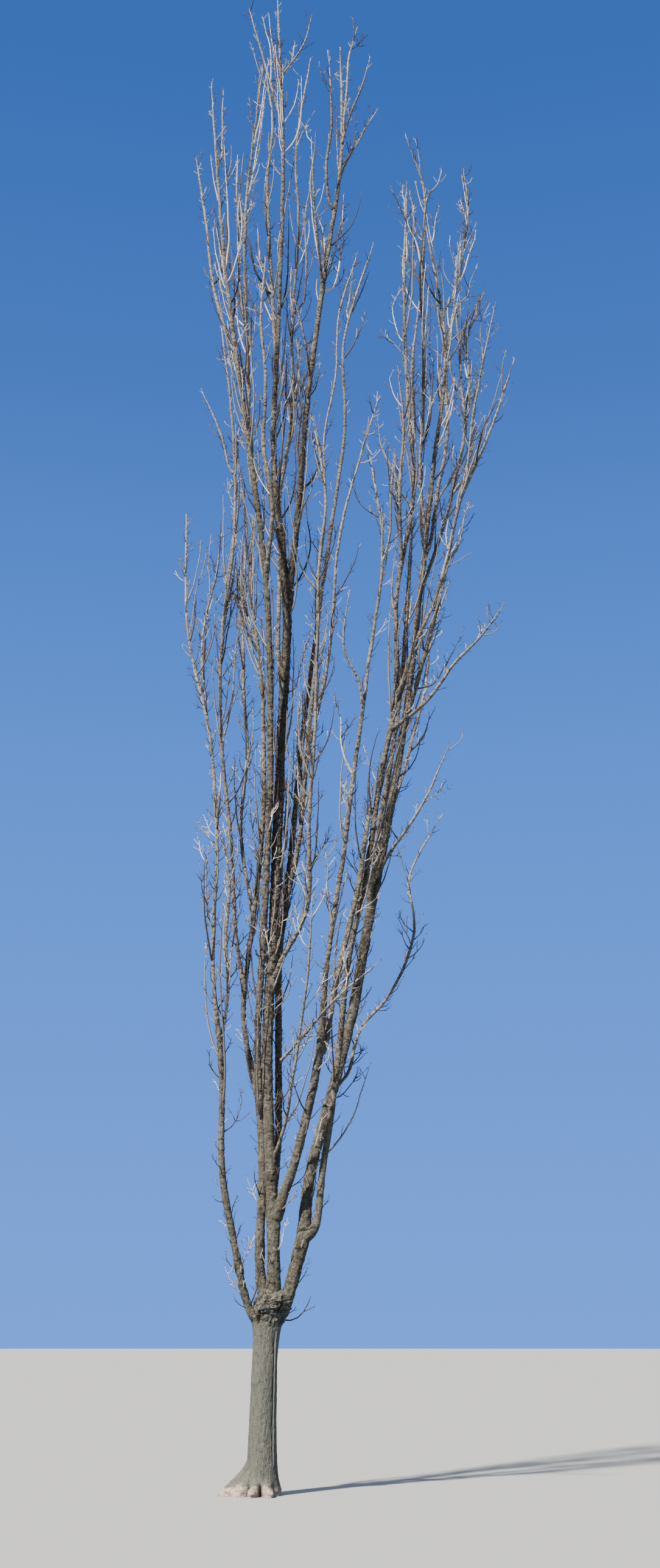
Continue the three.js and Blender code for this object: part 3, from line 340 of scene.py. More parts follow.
def skin(rings, s, values, name, around):
    """A closed skin over rings of points, with its length laid out in bands side by side."""
    n, m, _ = rings.shape
    k = (np.arange(n - 1) * m)[:, None]
    i = np.arange(m)
    j = (i + 1) % m
    quads = np.stack([k + i, k + j, k + m + j, k + m + i], -1).reshape(-1, 4)
    foot = np.arange(m)[::-1][None]
    top = (n - 1) * m + np.arange(m)[None]
    length = s[-1] - s[0]
    bands = int(np.clip(round(math.sqrt(length / around)), 1, 14))
    edge = np.searchsorted(s, s[0] + length * np.arange(bands + 1) / bands)
    edge[-1] = n - 1
    band = np.searchsorted(edge, np.arange(n - 1), side="right") - 1
    band = np.clip(band, 0, bands - 1)
    low, high = s[edge[band]], s[np.minimum(edge[band + 1], n - 1)]
    v0 = 0.005 + 0.99 * np.clip((s[:-1] - low) / (high - low), 0, 1)
    v1 = 0.005 + 0.99 * np.clip((s[1:] - low) / (high - low), 0, 1)
    u0 = (band[:, None] + 0.03 + 0.94 * i / m) / bands
    u1 = (band[:, None] + 0.03 + 0.94 * (i + 1) / m) / bands
    V0, V1 = np.repeat(v0[:, None], m, 1), np.repeat(v1[:, None], m, 1)
    uv = np.stack([np.stack([u0, V0], -1), np.stack([u1, V0], -1), np.stack([u1, V1], -1), np.stack([u0, V1], -1)], 2).reshape(-1, 2)
    flat = np.stack([(0.03 + 0.94 * i / m) / bands, np.full(m, 0.003)], 1)
    uv = np.vstack([uv, flat[::-1], np.stack([(bands - 1 + 0.03 + 0.94 * i / m) / bands, np.full(m, 0.997)], 1)])
    return new_piece(name, rings.reshape(-1, 3), [quads, foot, top], values, uv)


def tubes(P, R, sides):
    """Closed tapering tubes that all have the same count of points. Each ends in a point."""
    N, K, _ = P.shape
    D = np.empty_like(P)
    D[:, 0] = P[:, 1] - P[:, 0]
    D[:, -1] = P[:, -1] - P[:, -2]
    D[:, 1:-1] = P[:, 2:] - P[:, :-2]
    D /= np.linalg.norm(D, axis=2, keepdims=True)
    lean = np.abs(D.mean(1)[:, 1:2]) > 0.75
    ref = np.where(lean, [[1.0, 0.0, 0.0]], [[0.0, 1.0, 0.0]])
    S = np.cross(np.broadcast_to(ref[:, None], D.shape), D)
    S /= np.linalg.norm(S, axis=2, keepdims=True)
    O = np.cross(D, S)
    a = 2 * np.pi * np.arange(sides) / sides
    ring = P[:, :-1, None] + R[:, :-1, None, None] * (
        np.cos(a)[None, None, :, None] * S[:, :-1, None] + np.sin(a)[None, None, :, None] * O[:, :-1, None])
    verts = np.concatenate([ring.reshape(N, -1, 3), P[:, -1:]], 1)
    V = (K - 1) * sides + 1
    k = (np.arange(K - 2) * sides)[:, None]
    i = np.arange(sides)
    j = (i + 1) % sides
    quads = np.stack([k + i, k + j, k + sides + j, k + sides + i], -1).reshape(-1, 4)
    fan = np.stack([(K - 2) * sides + i, (K - 2) * sides + j, np.full(sides, V - 1)], -1)
    base = (np.arange(N) * V)[:, None, None]
    return verts.reshape(-1, 3), [(base + quads).reshape(-1, 4), (base + fan).reshape(-1, 3),
                                  (base + i[::-1][None, None]).reshape(-1, sides)]


def triangles(K, sides):
    return (K - 2) * sides * 2 + sides + sides - 2


# ---- materials -----------------------------------------------------------------------------
class Shader:
    """Short calls for building a node tree."""

    def __init__(self, name, roughness, specular=0.25):
        self.mat = bpy.data.materials.new(name)
        self.mat.use_nodes = True
        self.tree = self.mat.node_tree
        self.tree.nodes.clear()
        self.out = self.tree.nodes.new("ShaderNodeOutputMaterial")
        self.bsdf = self.tree.nodes.new("ShaderNodeBsdfPrincipled")
        self.bsdf.inputs["Roughness"].default_value = roughness
        self.bsdf.inputs["Specular IOR Level"].default_value = specular
        self.tree.links.new(self.bsdf.outputs[0], self.out.inputs[0])
        self.place = self.add("TexCoord").outputs["Object"]

    def add(self, kind, sets=None, ins=None):
        n = self.tree.nodes.new("ShaderNode" + kind)
        for key, v in (sets or {}).items():
            setattr(n, key, v)
        for key, v in (ins or {}).items():
            self.put(n.inputs[key], v)
        return n

    def put(self, socket, v):
        if isinstance(v, bpy.types.NodeSocket):
            self.tree.links.new(v, socket)
        else:
            socket.default_value = v

    def stretched(self, scale):
        return self.add("Mapping", None, {"Vector": self.place, "Scale": scale}).outputs[0]

    def cloud(self, scale, detail=3.0, rough=0.55, vector=None):
        return self.add("TexNoise", None, {"Vector": vector or self.place, "Scale": scale, "Detail": detail, "Roughness": rough}).outputs["Fac"]

    def value(self, name):
        return self.add("Attribute", {"attribute_name": name, "attribute_type": "GEOMETRY"}).outputs["Fac"]

    def span(self, v, a, b, c=0.0, d=1.0):
        n = self.add("MapRange", {"interpolation_type": "SMOOTHSTEP"}, {"Value": v, "From Min": a, "From Max": b, "To Min": c, "To Max": d})
        return n.outputs[0]

    def times(self, a, b):
        return self.add("Math", {"operation": "MULTIPLY"}, {0: a, 1: b}).outputs[0]

    def mix(self, factor, a, b, way="MIX"):
        n = self.add("Mix", {"data_type": "RGBA", "blend_type": way})
        for at, v in ((0, factor), (6, a), (7, b)):
            if isinstance(v, tuple):
                v = (*v, 1.0)
            self.put(n.inputs[at], v)
        return n.outputs[2]

    def bump(self, height, strength, distance, over=None):
        ins = {"Height": height, "Strength": strength, "Distance": distance}
        if over is not None:
            ins["Normal"] = over
        return self.add("Bump", None, ins).outputs[0]


def bole_bark():
    m = Shader("bole_bark", 0.92, 0.18)
    streak = m.cloud(1.0, 5.0, 0.68, m.stretched((60.0, 60.0, 17.0)))
    fleck = m.cloud(1.0, 3.0, 0.6, m.stretched((120.0, 120.0, 46.0)))
    patch = m.cloud(5.5, 4.0, 0.6)
    grain = m.cloud(160.0, 3.0, 0.6)
    base = m.mix(m.span(streak, 0.30, 0.72), (0.100, 0.097, 0.076), (0.182, 0.177, 0.143))
    base = m.mix(m.times(m.span(fleck, 0.52, 0.72), 0.60), base, (0.275, 0.267, 0.230))
    base = m.mix(m.times(m.span(patch, 0.45, 0.70), 0.40), base, (0.128, 0.134, 0.092))
    base = m.mix(m.times(m.value("strip"), 0.6), base, (0.170, 0.170, 0.142))
    base = m.mix(m.times(m.value("knob"), 0.55), base, (0.100, 0.096, 0.068))
    mottle = m.cloud(44.0, 4.0, 0.72)
    base = m.mix(m.times(m.value("knob"), m.span(mottle, 0.53, 0.58, 0.0, 0.70)), base, (0.235, 0.225, 0.182))
    # painted shade: the low places of the mottled knobs are darkened
    base = m.mix(m.times(m.value("knob"), m.span(mottle, 0.47, 0.42, 0.0, 0.75)), base, (0.036, 0.033, 0.024))
    # painted shade: the hollow under the left stem is near black
    base = m.mix(m.value("hole"), base, (0.010, 0.009, 0.007))
    base = m.mix(m.times(m.value("lichen"), 0.75), base, (0.250, 0.238, 0.198))
    pale = m.mix(m.span(m.cloud(34.0, 4.0, 0.65), 0.36, 0.62), (0.32, 0.235, 0.185), (0.62, 0.485, 0.395))
    pale = m.mix(m.span(m.cloud(95.0, 2.0, 0.6), 0.58, 0.68, 0.0, 0.55), pale, (0.155, 0.130, 0.100))
    base = m.mix(m.value("toe"), base, pale)
    # painted shade in fissures, the seam, flutes and hollows; in the fissures partly the bark's own dark
    base = m.mix(m.times(m.value("deep"), 0.90), base, (0.024, 0.020, 0.015))
    m.put(m.bsdf.inputs["Base Color"], base)
    m.put(m.bsdf.inputs["Normal"], m.bump(streak, 0.75, 0.012, m.bump(mottle, 0.55, 0.014, m.bump(grain, 0.5, 0.003))))
    return m.mat


def bough_bark():
    m = Shader("bough_bark", 0.9, 0.2)
    age = m.value("age")
    streak = m.cloud(1.0, 5.0, 0.66, m.stretched((70.0, 70.0, 24.0)))
    rings = m.cloud(1.0, 2.0, 0.5, m.stretched((9.0, 9.0, 85.0)))
    patch = m.cloud(3.4, 4.0, 0.62)
    grain = m.cloud(190.0, 3.0, 0.6)
    ramp = m.add("ValToRGB", None, {"Fac": age})
    stops = ramp.color_ramp.elements
    stops[0].position, stops[0].color = 0.0, (0.62, 0.555, 0.475, 1.0)
    stops[1].position, stops[1].color = 1.0, (0.166, 0.142, 0.102, 1.0)
    for at, colour in ((0.16, (0.44, 0.380, 0.308, 1.0)), (0.42, (0.266, 0.222, 0.166, 1.0))):
        stop = stops.new(at)
        stop.color = colour
    base = m.mix(m.span(streak, 0.30, 0.72), (0.62, 0.60, 0.57), (1.0, 1.0, 1.0))
    base = m.mix(1.0, ramp.outputs[0], base, "MULTIPLY")
    base = m.mix(m.times(m.span(patch, 0.48, 0.72), 0.30), base, (0.30, 0.28, 0.245))
    base = m.mix(m.times(m.span(rings, 0.60, 0.74), 0.32), base, (0.085, 0.068, 0.052))
    base = m.mix(m.times(m.value("tone"), 0.5), base, (0.115, 0.098, 0.078))
    crescent = m.cloud(1.0, 2.0, 0.5, m.stretched((19.0, 19.0, 44.0)))
    lower = m.add("Mapping", None, {"Vector": m.place, "Location": (0.0, 0.0, 0.60), "Scale": (19.0, 19.0, 44.0)}).outputs[0]
    scar = m.cloud(1.0, 2.0, 0.5, lower)
    base = m.mix(m.times(m.span(scar, 0.580, 0.620), m.span(age, 0.12, 0.35, 0.0, 0.30)), base, (0.40, 0.355, 0.290))
    base = m.mix(m.times(m.span(crescent, 0.568, 0.605), m.span(age, 0.10, 0.35, 0.0, 0.80)), base, (0.040, 0.031, 0.024))
    algae = m.times(m.value("algae"), m.span(m.cloud(14.0, 3.0), 0.30, 0.62, 0.45, 1.0))
    base = m.mix(algae, base, (0.108, 0.110, 0.068))
    base = m.mix(m.times(m.value("lichen"), 0.5), base, (0.235, 0.225, 0.190))
    mottle = m.cloud(44.0, 4.0, 0.72)
    base = m.mix(m.times(m.value("foot"), m.span(mottle, 0.53, 0.60, 0.0, 0.50)), base, (0.215, 0.205, 0.165))
    # painted shade: the low places of the mottled knobs are darkened
    base = m.mix(m.times(m.value("foot"), m.span(mottle, 0.47, 0.42, 0.0, 0.75)), base, (0.036, 0.033, 0.024))
    # painted shade in fissures, plate gaps, flake dips and hollows; in the fissures partly the bark's own dark
    base = m.mix(m.times(m.value("deep"), 0.85), base, (0.034, 0.027, 0.021))
    # dark joint lines, scars and cross marks of the bark, and painted shade in crotches and in the stub's hollow
    base = m.mix(m.times(m.value("mark"), 0.85), base, (0.034, 0.026, 0.020))
    m.put(m.bsdf.inputs["Base Color"], base)
    m.put(m.bsdf.inputs["Normal"], m.bump(streak, 0.8, 0.010, m.bump(mottle, 0.50, 0.009, m.bump(grain, 0.5, 0.002))))
    return m.mat


def plain(name, colour, roughness, scale):
    """One base colour, with fine bark relief."""
    m = Shader(name, roughness, 0.3)
    m.bsdf.inputs["Base Color"].default_value = (*colour, 1.0)
    m.put(m.bsdf.inputs["Normal"], m.bump(m.cloud(scale, 3.0, 0.6), 0.4, 0.0012))
    return m.mat


BOLE_BARK = bole_bark()
BOUGH_BARK = bough_bark()
# twig colours from cream to brown: partly the twigs' own tones and partly painted light, cream standing for sunlit
# twigs and grey and brown for shaded ones
TWIG = {
    "cream": plain("twig_cream", (0.72, 0.635, 0.530), 0.72, 320.0),
    "tan": plain("twig_tan", (0.29, 0.250, 0.20), 0.80, 320.0),
    "grey": plain("twig_grey", (0.150, 0.134, 0.120), 0.85, 320.0),
    "brown": plain("twig_brown", (0.068, 0.050, 0.040), 0.8, 320.0),
    "bud": plain("bud_red", (0.10, 0.042, 0.032), 0.55, 500.0),
    "knot": plain("knot_dark", (0.06, 0.046, 0.036), 0.9, 260.0),
}


# ---- the bole ------------------------------------------------------------------------------
def make_bole():
    columns = 264
    z = np.concatenate([
        np.linspace(0, 0.42, 92, endpoint=False),
        np.linspace(0.42, 1.72, 140, endpoint=False),
        np.linspace(1.72, 2.262, 92),
    ])
    deg = 360.0 * np.arange(columns) / columns
    D, Z = np.meshgrid(deg, z)
    D, Z = D.ravel(), Z.ravel()
    a = np.radians(D)
    r = bole_reach(D, Z)
    cx = np.interp(Z, BOLE[:, 0], BOLE[:, 1])
    px, py = np.cos(a) * 0.155, np.sin(a) * 0.155
    toe = np.clip((r - 1 / np.hypot(np.cos(a) / 0.19, np.sin(a) / 0.19)) / 0.05, 0, 1) * smooth(-Z, -0.34, -0.05)
    low = smooth(-Z, -0.16, -0.02)
    knob = smooth(Z, 1.68, 1.92)
    warp = (noise(np.stack([px / 0.09, py / 0.09, Z / 0.22], 1), 5) - 0.5) * 0.9
    fine = cracks(np.stack([px / 0.018 + warp, py / 0.018 - warp, Z / 0.11], 1), 11, 0.16)
    cross = cracks(np.stack([px / 0.06, py / 0.06, Z / 0.035], 1), 13, 0.06) * smooth(noise(np.stack([px / 0.05, py / 0.05, Z / 0.05], 1), 12), 0.6, 0.8)
    plate = noise(np.stack([px / 0.013, py / 0.013, Z / 0.05], 1), 14) - 0.5
    fibre = noise(np.stack([px / 0.008, py / 0.008, Z / 0.07], 1), 20) - 0.5
    lump = noise(np.stack([px / 0.10, py / 0.10, Z / 0.20], 1), 15) - 0.5
    swollen = noise(np.stack([px / 0.075, py / 0.075, Z / 0.11], 1), 24)
    knobby = noise(np.stack([px / 0.030, py / 0.030, Z / 0.042], 1), 16)
    knobby2 = noise(np.stack([px / 0.015, py / 0.015, Z / 0.022], 1), 17)
    body = 1 - smooth(toe, 0.2, 0.9)
    bark = body * (1 - 0.75 * knob)
    out = lump * 0.013 * (1 - knob) + (plate * 0.0042 + fibre * 0.0030) * bark
    out -= (0.0026 * fine + 0.0025 * cross) * bark
    # the swollen collar: knobs on knobs, with hollows between them
    ridged = cracks(np.stack([px / 0.055 + swollen, py / 0.055, Z / 0.075], 1), 28, 0.24)
    calm = 1 - 0.65 * smooth(Z, 2.10, 2.24)
    out += knob * calm * ((swollen - 0.5) * 0.044 + (knobby - 0.45) * 0.021 + (knobby2 - 0.5) * 0.012 - 0.011 * ridged)
    out += 0.024 * np.exp(-(((D - 348 + 540) % 360 - 180) / 28.0) ** 2 - ((Z - 1.84) / 0.24) ** 2)
    out += 0.030 * np.exp(-(((D - 180 + 540) % 360 - 180) / 24.0) ** 2 - ((Z - 1.88) / 0.15) ** 2)
    out += knob * calm * 0.016 * (np.abs(2 * knobby2 - 1) - 0.5)
    # toes: rounded, worn, with a rough grain
    rough = noise(np.stack([r * np.cos(a) / 0.035, r * np.sin(a) / 0.035, Z / 0.03], 1), 18)
    rough2 = noise(np.stack([r * np.cos(a) / 0.014, r * np.sin(a) / 0.014, Z / 0.014], 1), 19)
    out += toe * ((rough - 0.5) * 0.026 + (rough2 - 0.5) * 0.012 - 0.030 * (1 - smooth(Z, -0.005, 0.050)))
    # fissures and cross cracks are darkened: partly the bark's own dark and partly painted shade
    deep = np.clip(0.30 * fine + 0.55 * cross, 0, 1) * bark
    # a fused rib on the right of the front, set off by one long seam, darkened with painted shade
    line = 314.5 + 3.0 * smooth(Z, 0.36, 0.9) + 1.0 * wander(Z, 0.16, 21)
    open_ = np.exp(-(((Z - 1.03) / 0.20) ** 2)) + 0.5 * np.exp(-(((Z - 1.48) / 0.09) ** 2))
    rib = smooth(D, line, line + 5) * (1 - smooth(D, line + 20, line + 40)) * smooth(Z, 0.26, 0.42) * (1 - smooth(Z, 1.66, 1.82))
    out += 0.012 * rib
    crack = np.exp(-(((D - line) / (1.25 + 1.35 * open_)) ** 2)) * smooth(Z, 0.31, 0.40) * (1 - smooth(Z, 1.56, 1.68))
    out -= (0.010 + 0.014 * open_) * crack
    deep = np.maximum(deep, crack)
    # flutes and hollows between the toes and between the feet of the stems, darkened with painted shade, the deeper
    # ones most
    for toward, low_z, high_z, half, depth in ((253, 1.46, 1.84, 6, 0.007), (243, 1.96, 2.20, 6, 0.012), (266, 2.10, 2.24, 6, 0.010), (308, 1.86, 2.20, 6, 0.018),
                                               (28, 1.98, 2.2, 6, 0.010), (95, 1.98, 2.2, 6, 0.010), (150, 1.98, 2.2, 6, 0.010),
                                               (267.5, -0.3, 0.05, 5.5, 0.060), (231, -0.3, 0.05, 5.0, 0.045)):
        bend = toward + (5 if low_z > 0 else 2) * wander(Z, 0.10, 30 + int(toward))
        side = np.abs((D - bend + 540) % 360 - 180) / half
        flute = np.exp(-side * side) * smooth(Z, low_z, low_z + 0.12) * (1 - smooth(Z, high_z, high_z + (0.05 if low_z > 0 else 0.11)))
        out -= depth * flute
        deep = np.maximum(deep, (0.9 if depth > 0.01 else 0.25) * flute)
    # a dent under the left stem, painted near black as shade
    hollow = np.exp(-(((D - 229) / 8.0) ** 2) - ((Z - 1.89) / 0.075) ** 2)
    out -= 0.040 * hollow
    # painted shade: the hollow, the grooves of the ridges and the low places between the knobs are darkened
    deep = np.clip(np.maximum(deep, hollow * 1.8) + knob * (0.60 * ridged + smooth(-knobby, -0.36, -0.16) * 0.45 + smooth(-knobby2, -0.34, -0.14) * 0.30), 0, 1)
    lichen = knob * (1 - smooth(Z, 2.16, 2.24)) * smooth(noise(np.stack([px / 0.045, py / 0.045, Z / 0.055], 1), 25), 0.52, 0.70) * (1 - deep)
    # the worn pale wood of the toes, with an uneven upper edge
    edge = 0.096 + 0.10 * (noise(np.stack([px / 0.040, py / 0.040, Z / 0.10], 1), 26) - 0.5) + 0.05 * (noise(np.stack([px / 0.014, py / 0.014, Z / 0.02], 1), 27) - 0.5)
    toe = toe * smooth(edge - Z, -0.014, 0.020) * (1 - deep)
    out *= smooth(Z, -0.02, 0.012) * 0.75 + 0.25
    r = r + out
    # the top closes in a low uneven dome
    cap = smooth(Z, 2.235, 2.262)
    r = r * (1 - 0.12 * cap)
    n = len(z)
    # the collar sits low between the stems
    sink = np.where(Z > 1.90, 1.90 + (Z - 1.90) * 0.70, Z)
    rings = np.stack([cx + r * np.cos(a), r * np.sin(a), sink], 1).reshape(n, columns, 3)
    values = {k: v.reshape(n, columns) for k, v in {"toe": np.clip(toe + 0.12 * low, 0, 1), "deep": deep, "strip": rib, "knob": knob, "lichen": lichen, "hole": smooth(hollow, 0.22, 0.50)}.items()}
    extra, ez = [], []
    for f, rise in ((0.80, 0.022), (0.55, 0.045), (0.28, 0.060), (0.06, 0.064)):
        ring = rings[n - 1].copy()
        centre = ring.mean(0)
        ring = centre + (ring - centre) * f
        ring[:, 2] = 2.153 + rise + (noise(ring / 0.03, 23) - 0.5) * 0.03 * f
        extra.append(ring)
        ez.append(2.262 + rise)
    rings = np.concatenate([rings, np.stack(extra)])
    for k in values:
        values[k] = np.concatenate([values[k]] + [values[k][-1:]] * len(extra))
    s = np.concatenate([z, 2.262 + 0.05 * np.arange(1, 5)])
    piece = skin(rings, s, values, "bole", 1.1)
    piece.data.materials.append(BOLE_BARK)
    return piece


# ---- limbs ---------------------------------------------------------------------------------
class Limb:
    pass


limbs = {}


def lay(name, parent, z, radii_mm, places, own):
    """The path, radii and frame of a limb."""
    b = Limb()
    b.name, b.parent, b.own = name, parent, own
    if parent == "trunk":
        foot = np.array([np.interp(z, BOLE[:, 0], BOLE[:, 1]), 0.0, z])
        cap, shift = 140.0, np.zeros(3)
        b.foot_s = None
    else:
        q = limbs[parent]
        k = int(np.argmin(np.abs(q.plain[:, 2] - z)))
        foot = q.plain[k]
        shift = q.path[k] - foot
        cap = float(q.rad[k]) * 1000
        b.foot_s = float(q.arc[k])
    cap = cap / (1 + COLLAR_SWELL) * 0.92
    points = [tuple(foot), *places]
    b.radii = np.minimum(np.asarray(radii_mm, float), cap) / 1000
    u = np.linspace(0, 1, 1600 if own else 400)
    b.plain = along(points, u)
    b.arc = np.concatenate([[0], np.cumsum(np.linalg.norm(np.diff(b.plain, axis=0), axis=1))])
    b.length = b.arc[-1]
    b.rad = station(b.radii, u)
    ahead = np.gradient(b.plain, b.arc, axis=0)
    ahead /= np.linalg.norm(ahead, axis=1, keepdims=True)
    side = np.cross([0.0, 1.0, 0.0], ahead)
    side /= np.linalg.norm(side, axis=1, keepdims=True)
    over = np.cross(ahead, side)
    seed = 100 + 7 * len(limbs)
    thin = 1 - smooth(b.rad, 0.012, 0.045)
    ease = smooth(b.arc, 0.05, 0.5)
    sway = [wander(b.arc, 0.85, seed + c) * 0.005 + wander(b.arc, 0.34, seed + 2 + c) * (0.003 + 0.009 * thin)
            + wander(b.arc, 0.13, seed + 4 + c) * 0.0045 * thin for c in (0, 1)]
    b.path = b.plain + (side * sway[0][:, None] + over * sway[1][:, None]) * ease[:, None]
    b.path += shift * np.exp(-((b.arc / 0.45) ** 2))[:, None]
    # joints, in opposite pairs whose plane turns a quarter each time
    b.first = 0.10 if parent == "trunk" else float(limbs[parent].rad[k]) * 1.6 + 0.05
    gap = np.clip(0.062 + station(b.radii, u) * 0.6, 0.065, 0.105)
    at, joints = b.first + 0.05, []
    while at < b.length - 0.02:
        joints.append(at)
        at += float(np.interp(at, b.arc, gap)) * rng.uniform(0.6, 1.4)
    b.joints = np.array(joints) if joints else np.array([b.length * 0.7])
    b.exit, b.foot_r = 0.12, 0.135
    if parent != "trunk":
        b.foot_r = float(limbs[parent].rad[k])
        slope = float(np.linalg.norm(np.cross(ahead[0], limbs[parent].path[min(k + 5, len(limbs[parent].path) - 1)] - limbs[parent].path[max(k - 5, 0)])
                                     / np.linalg.norm(limbs[parent].path[min(k + 5, len(limbs[parent].path) - 1)] - limbs[parent].path[max(k - 5, 0)])))
        b.exit = float(limbs[parent].rad[k]) / max(slope, 0.15)
    b.spin = rng.uniform(0, 2 * math.pi) + np.arange(len(b.joints)) * (math.pi / 2) + rng.normal(0, 0.35, len(b.joints))
    b.children = []
    limbs[name] = b
    if parent != "trunk":
        limbs[parent].children.append(b)
    return b


for row in LIMBS:
    lay(*row, True)
for row in SHOOTS:
    lay(*row, False)


def frame_at(b, s):
    """Centre, radius, ahead, side and over of a limb at arc lengths s."""
    s = np.atleast_1d(s)
    c = np.stack([np.interp(s, b.arc, b.path[:, k]) for k in range(3)], 1)
    h = 0.02
    p = np.stack([np.interp(np.minimum(s + h, b.length), b.arc, b.path[:, k]) for k in range(3)], 1)
    q = np.stack([np.interp(np.maximum(s - h, 0), b.arc, b.path[:, k]) for k in range(3)], 1)
    ahead = (p - q) / np.linalg.norm(p - q, axis=1, keepdims=True)
    side = np.cross([0.0, 1.0, 0.0], ahead)
    side /= np.linalg.norm(side, axis=1, keepdims=True)
    over = np.cross(ahead, side)
    r = np.interp(s, b.arc, b.rad) * (1 + (0.4 if b.name == "bough_right" else 1.5) * COLLAR_SWELL * np.exp(-s / (3.2 * b.radii[0])))
    r = r * (1 + (0.04 if b.name == "bough_right" else 0.12 if not b.own else 0.45 if b.radii[0] < 0.03 else 0.30) * np.exp(-(np.maximum(s - b.exit, 0) / (2.6 * b.radii[0])) ** 2))
    r = np.minimum(r, b.foot_r * 0.90 + np.maximum(s - 0.35 * b.exit, 0) * 0.55)
    if b.name != "stub_broken":
        r = r * (1 - 0.45 * smooth(s, b.length - 0.55, b.length))
    return c, r, ahead, side, over


SHAGGY = {"leader": (6.2, 13.5, 1.0), "bough_partner": (9.5, 14.0, 0.8), "bough_dark": (3.0, 9.0, 0.4), "bough_right_inner": (2.8, 4.6, 0.5),
          "bough_right": (5.0, 12.5, 0.55), "bough_right_lit": (6.0, 12.0, 0.5), "bough_inner_left": (5.0, 9.0, 0.4), "bough_right_middle": (7.4, 10.5, 0.5)}


# limb: height, direction in degrees, size, how far it stands out
WARTS = {
    "leader": ((3.46, 262, 0.075, 0.030), (3.28, 285, 0.06, 0.016), (6.9, 250, 0.05, 0.014), (9.6, 270, 0.05, 0.012)),
    "bough_right": ((2.62, 255, 0.06, 0.016), (3.05, 280, 0.05, 0.012)),
    "bough_right_lit": ((3.3, 265, 0.035, 0.010), (4.3, 240, 0.035, 0.010)),
    "bough_inner_left": ((3.1, 270, 0.05, 0.014), (5.4, 240, 0.04, 0.010)),
}


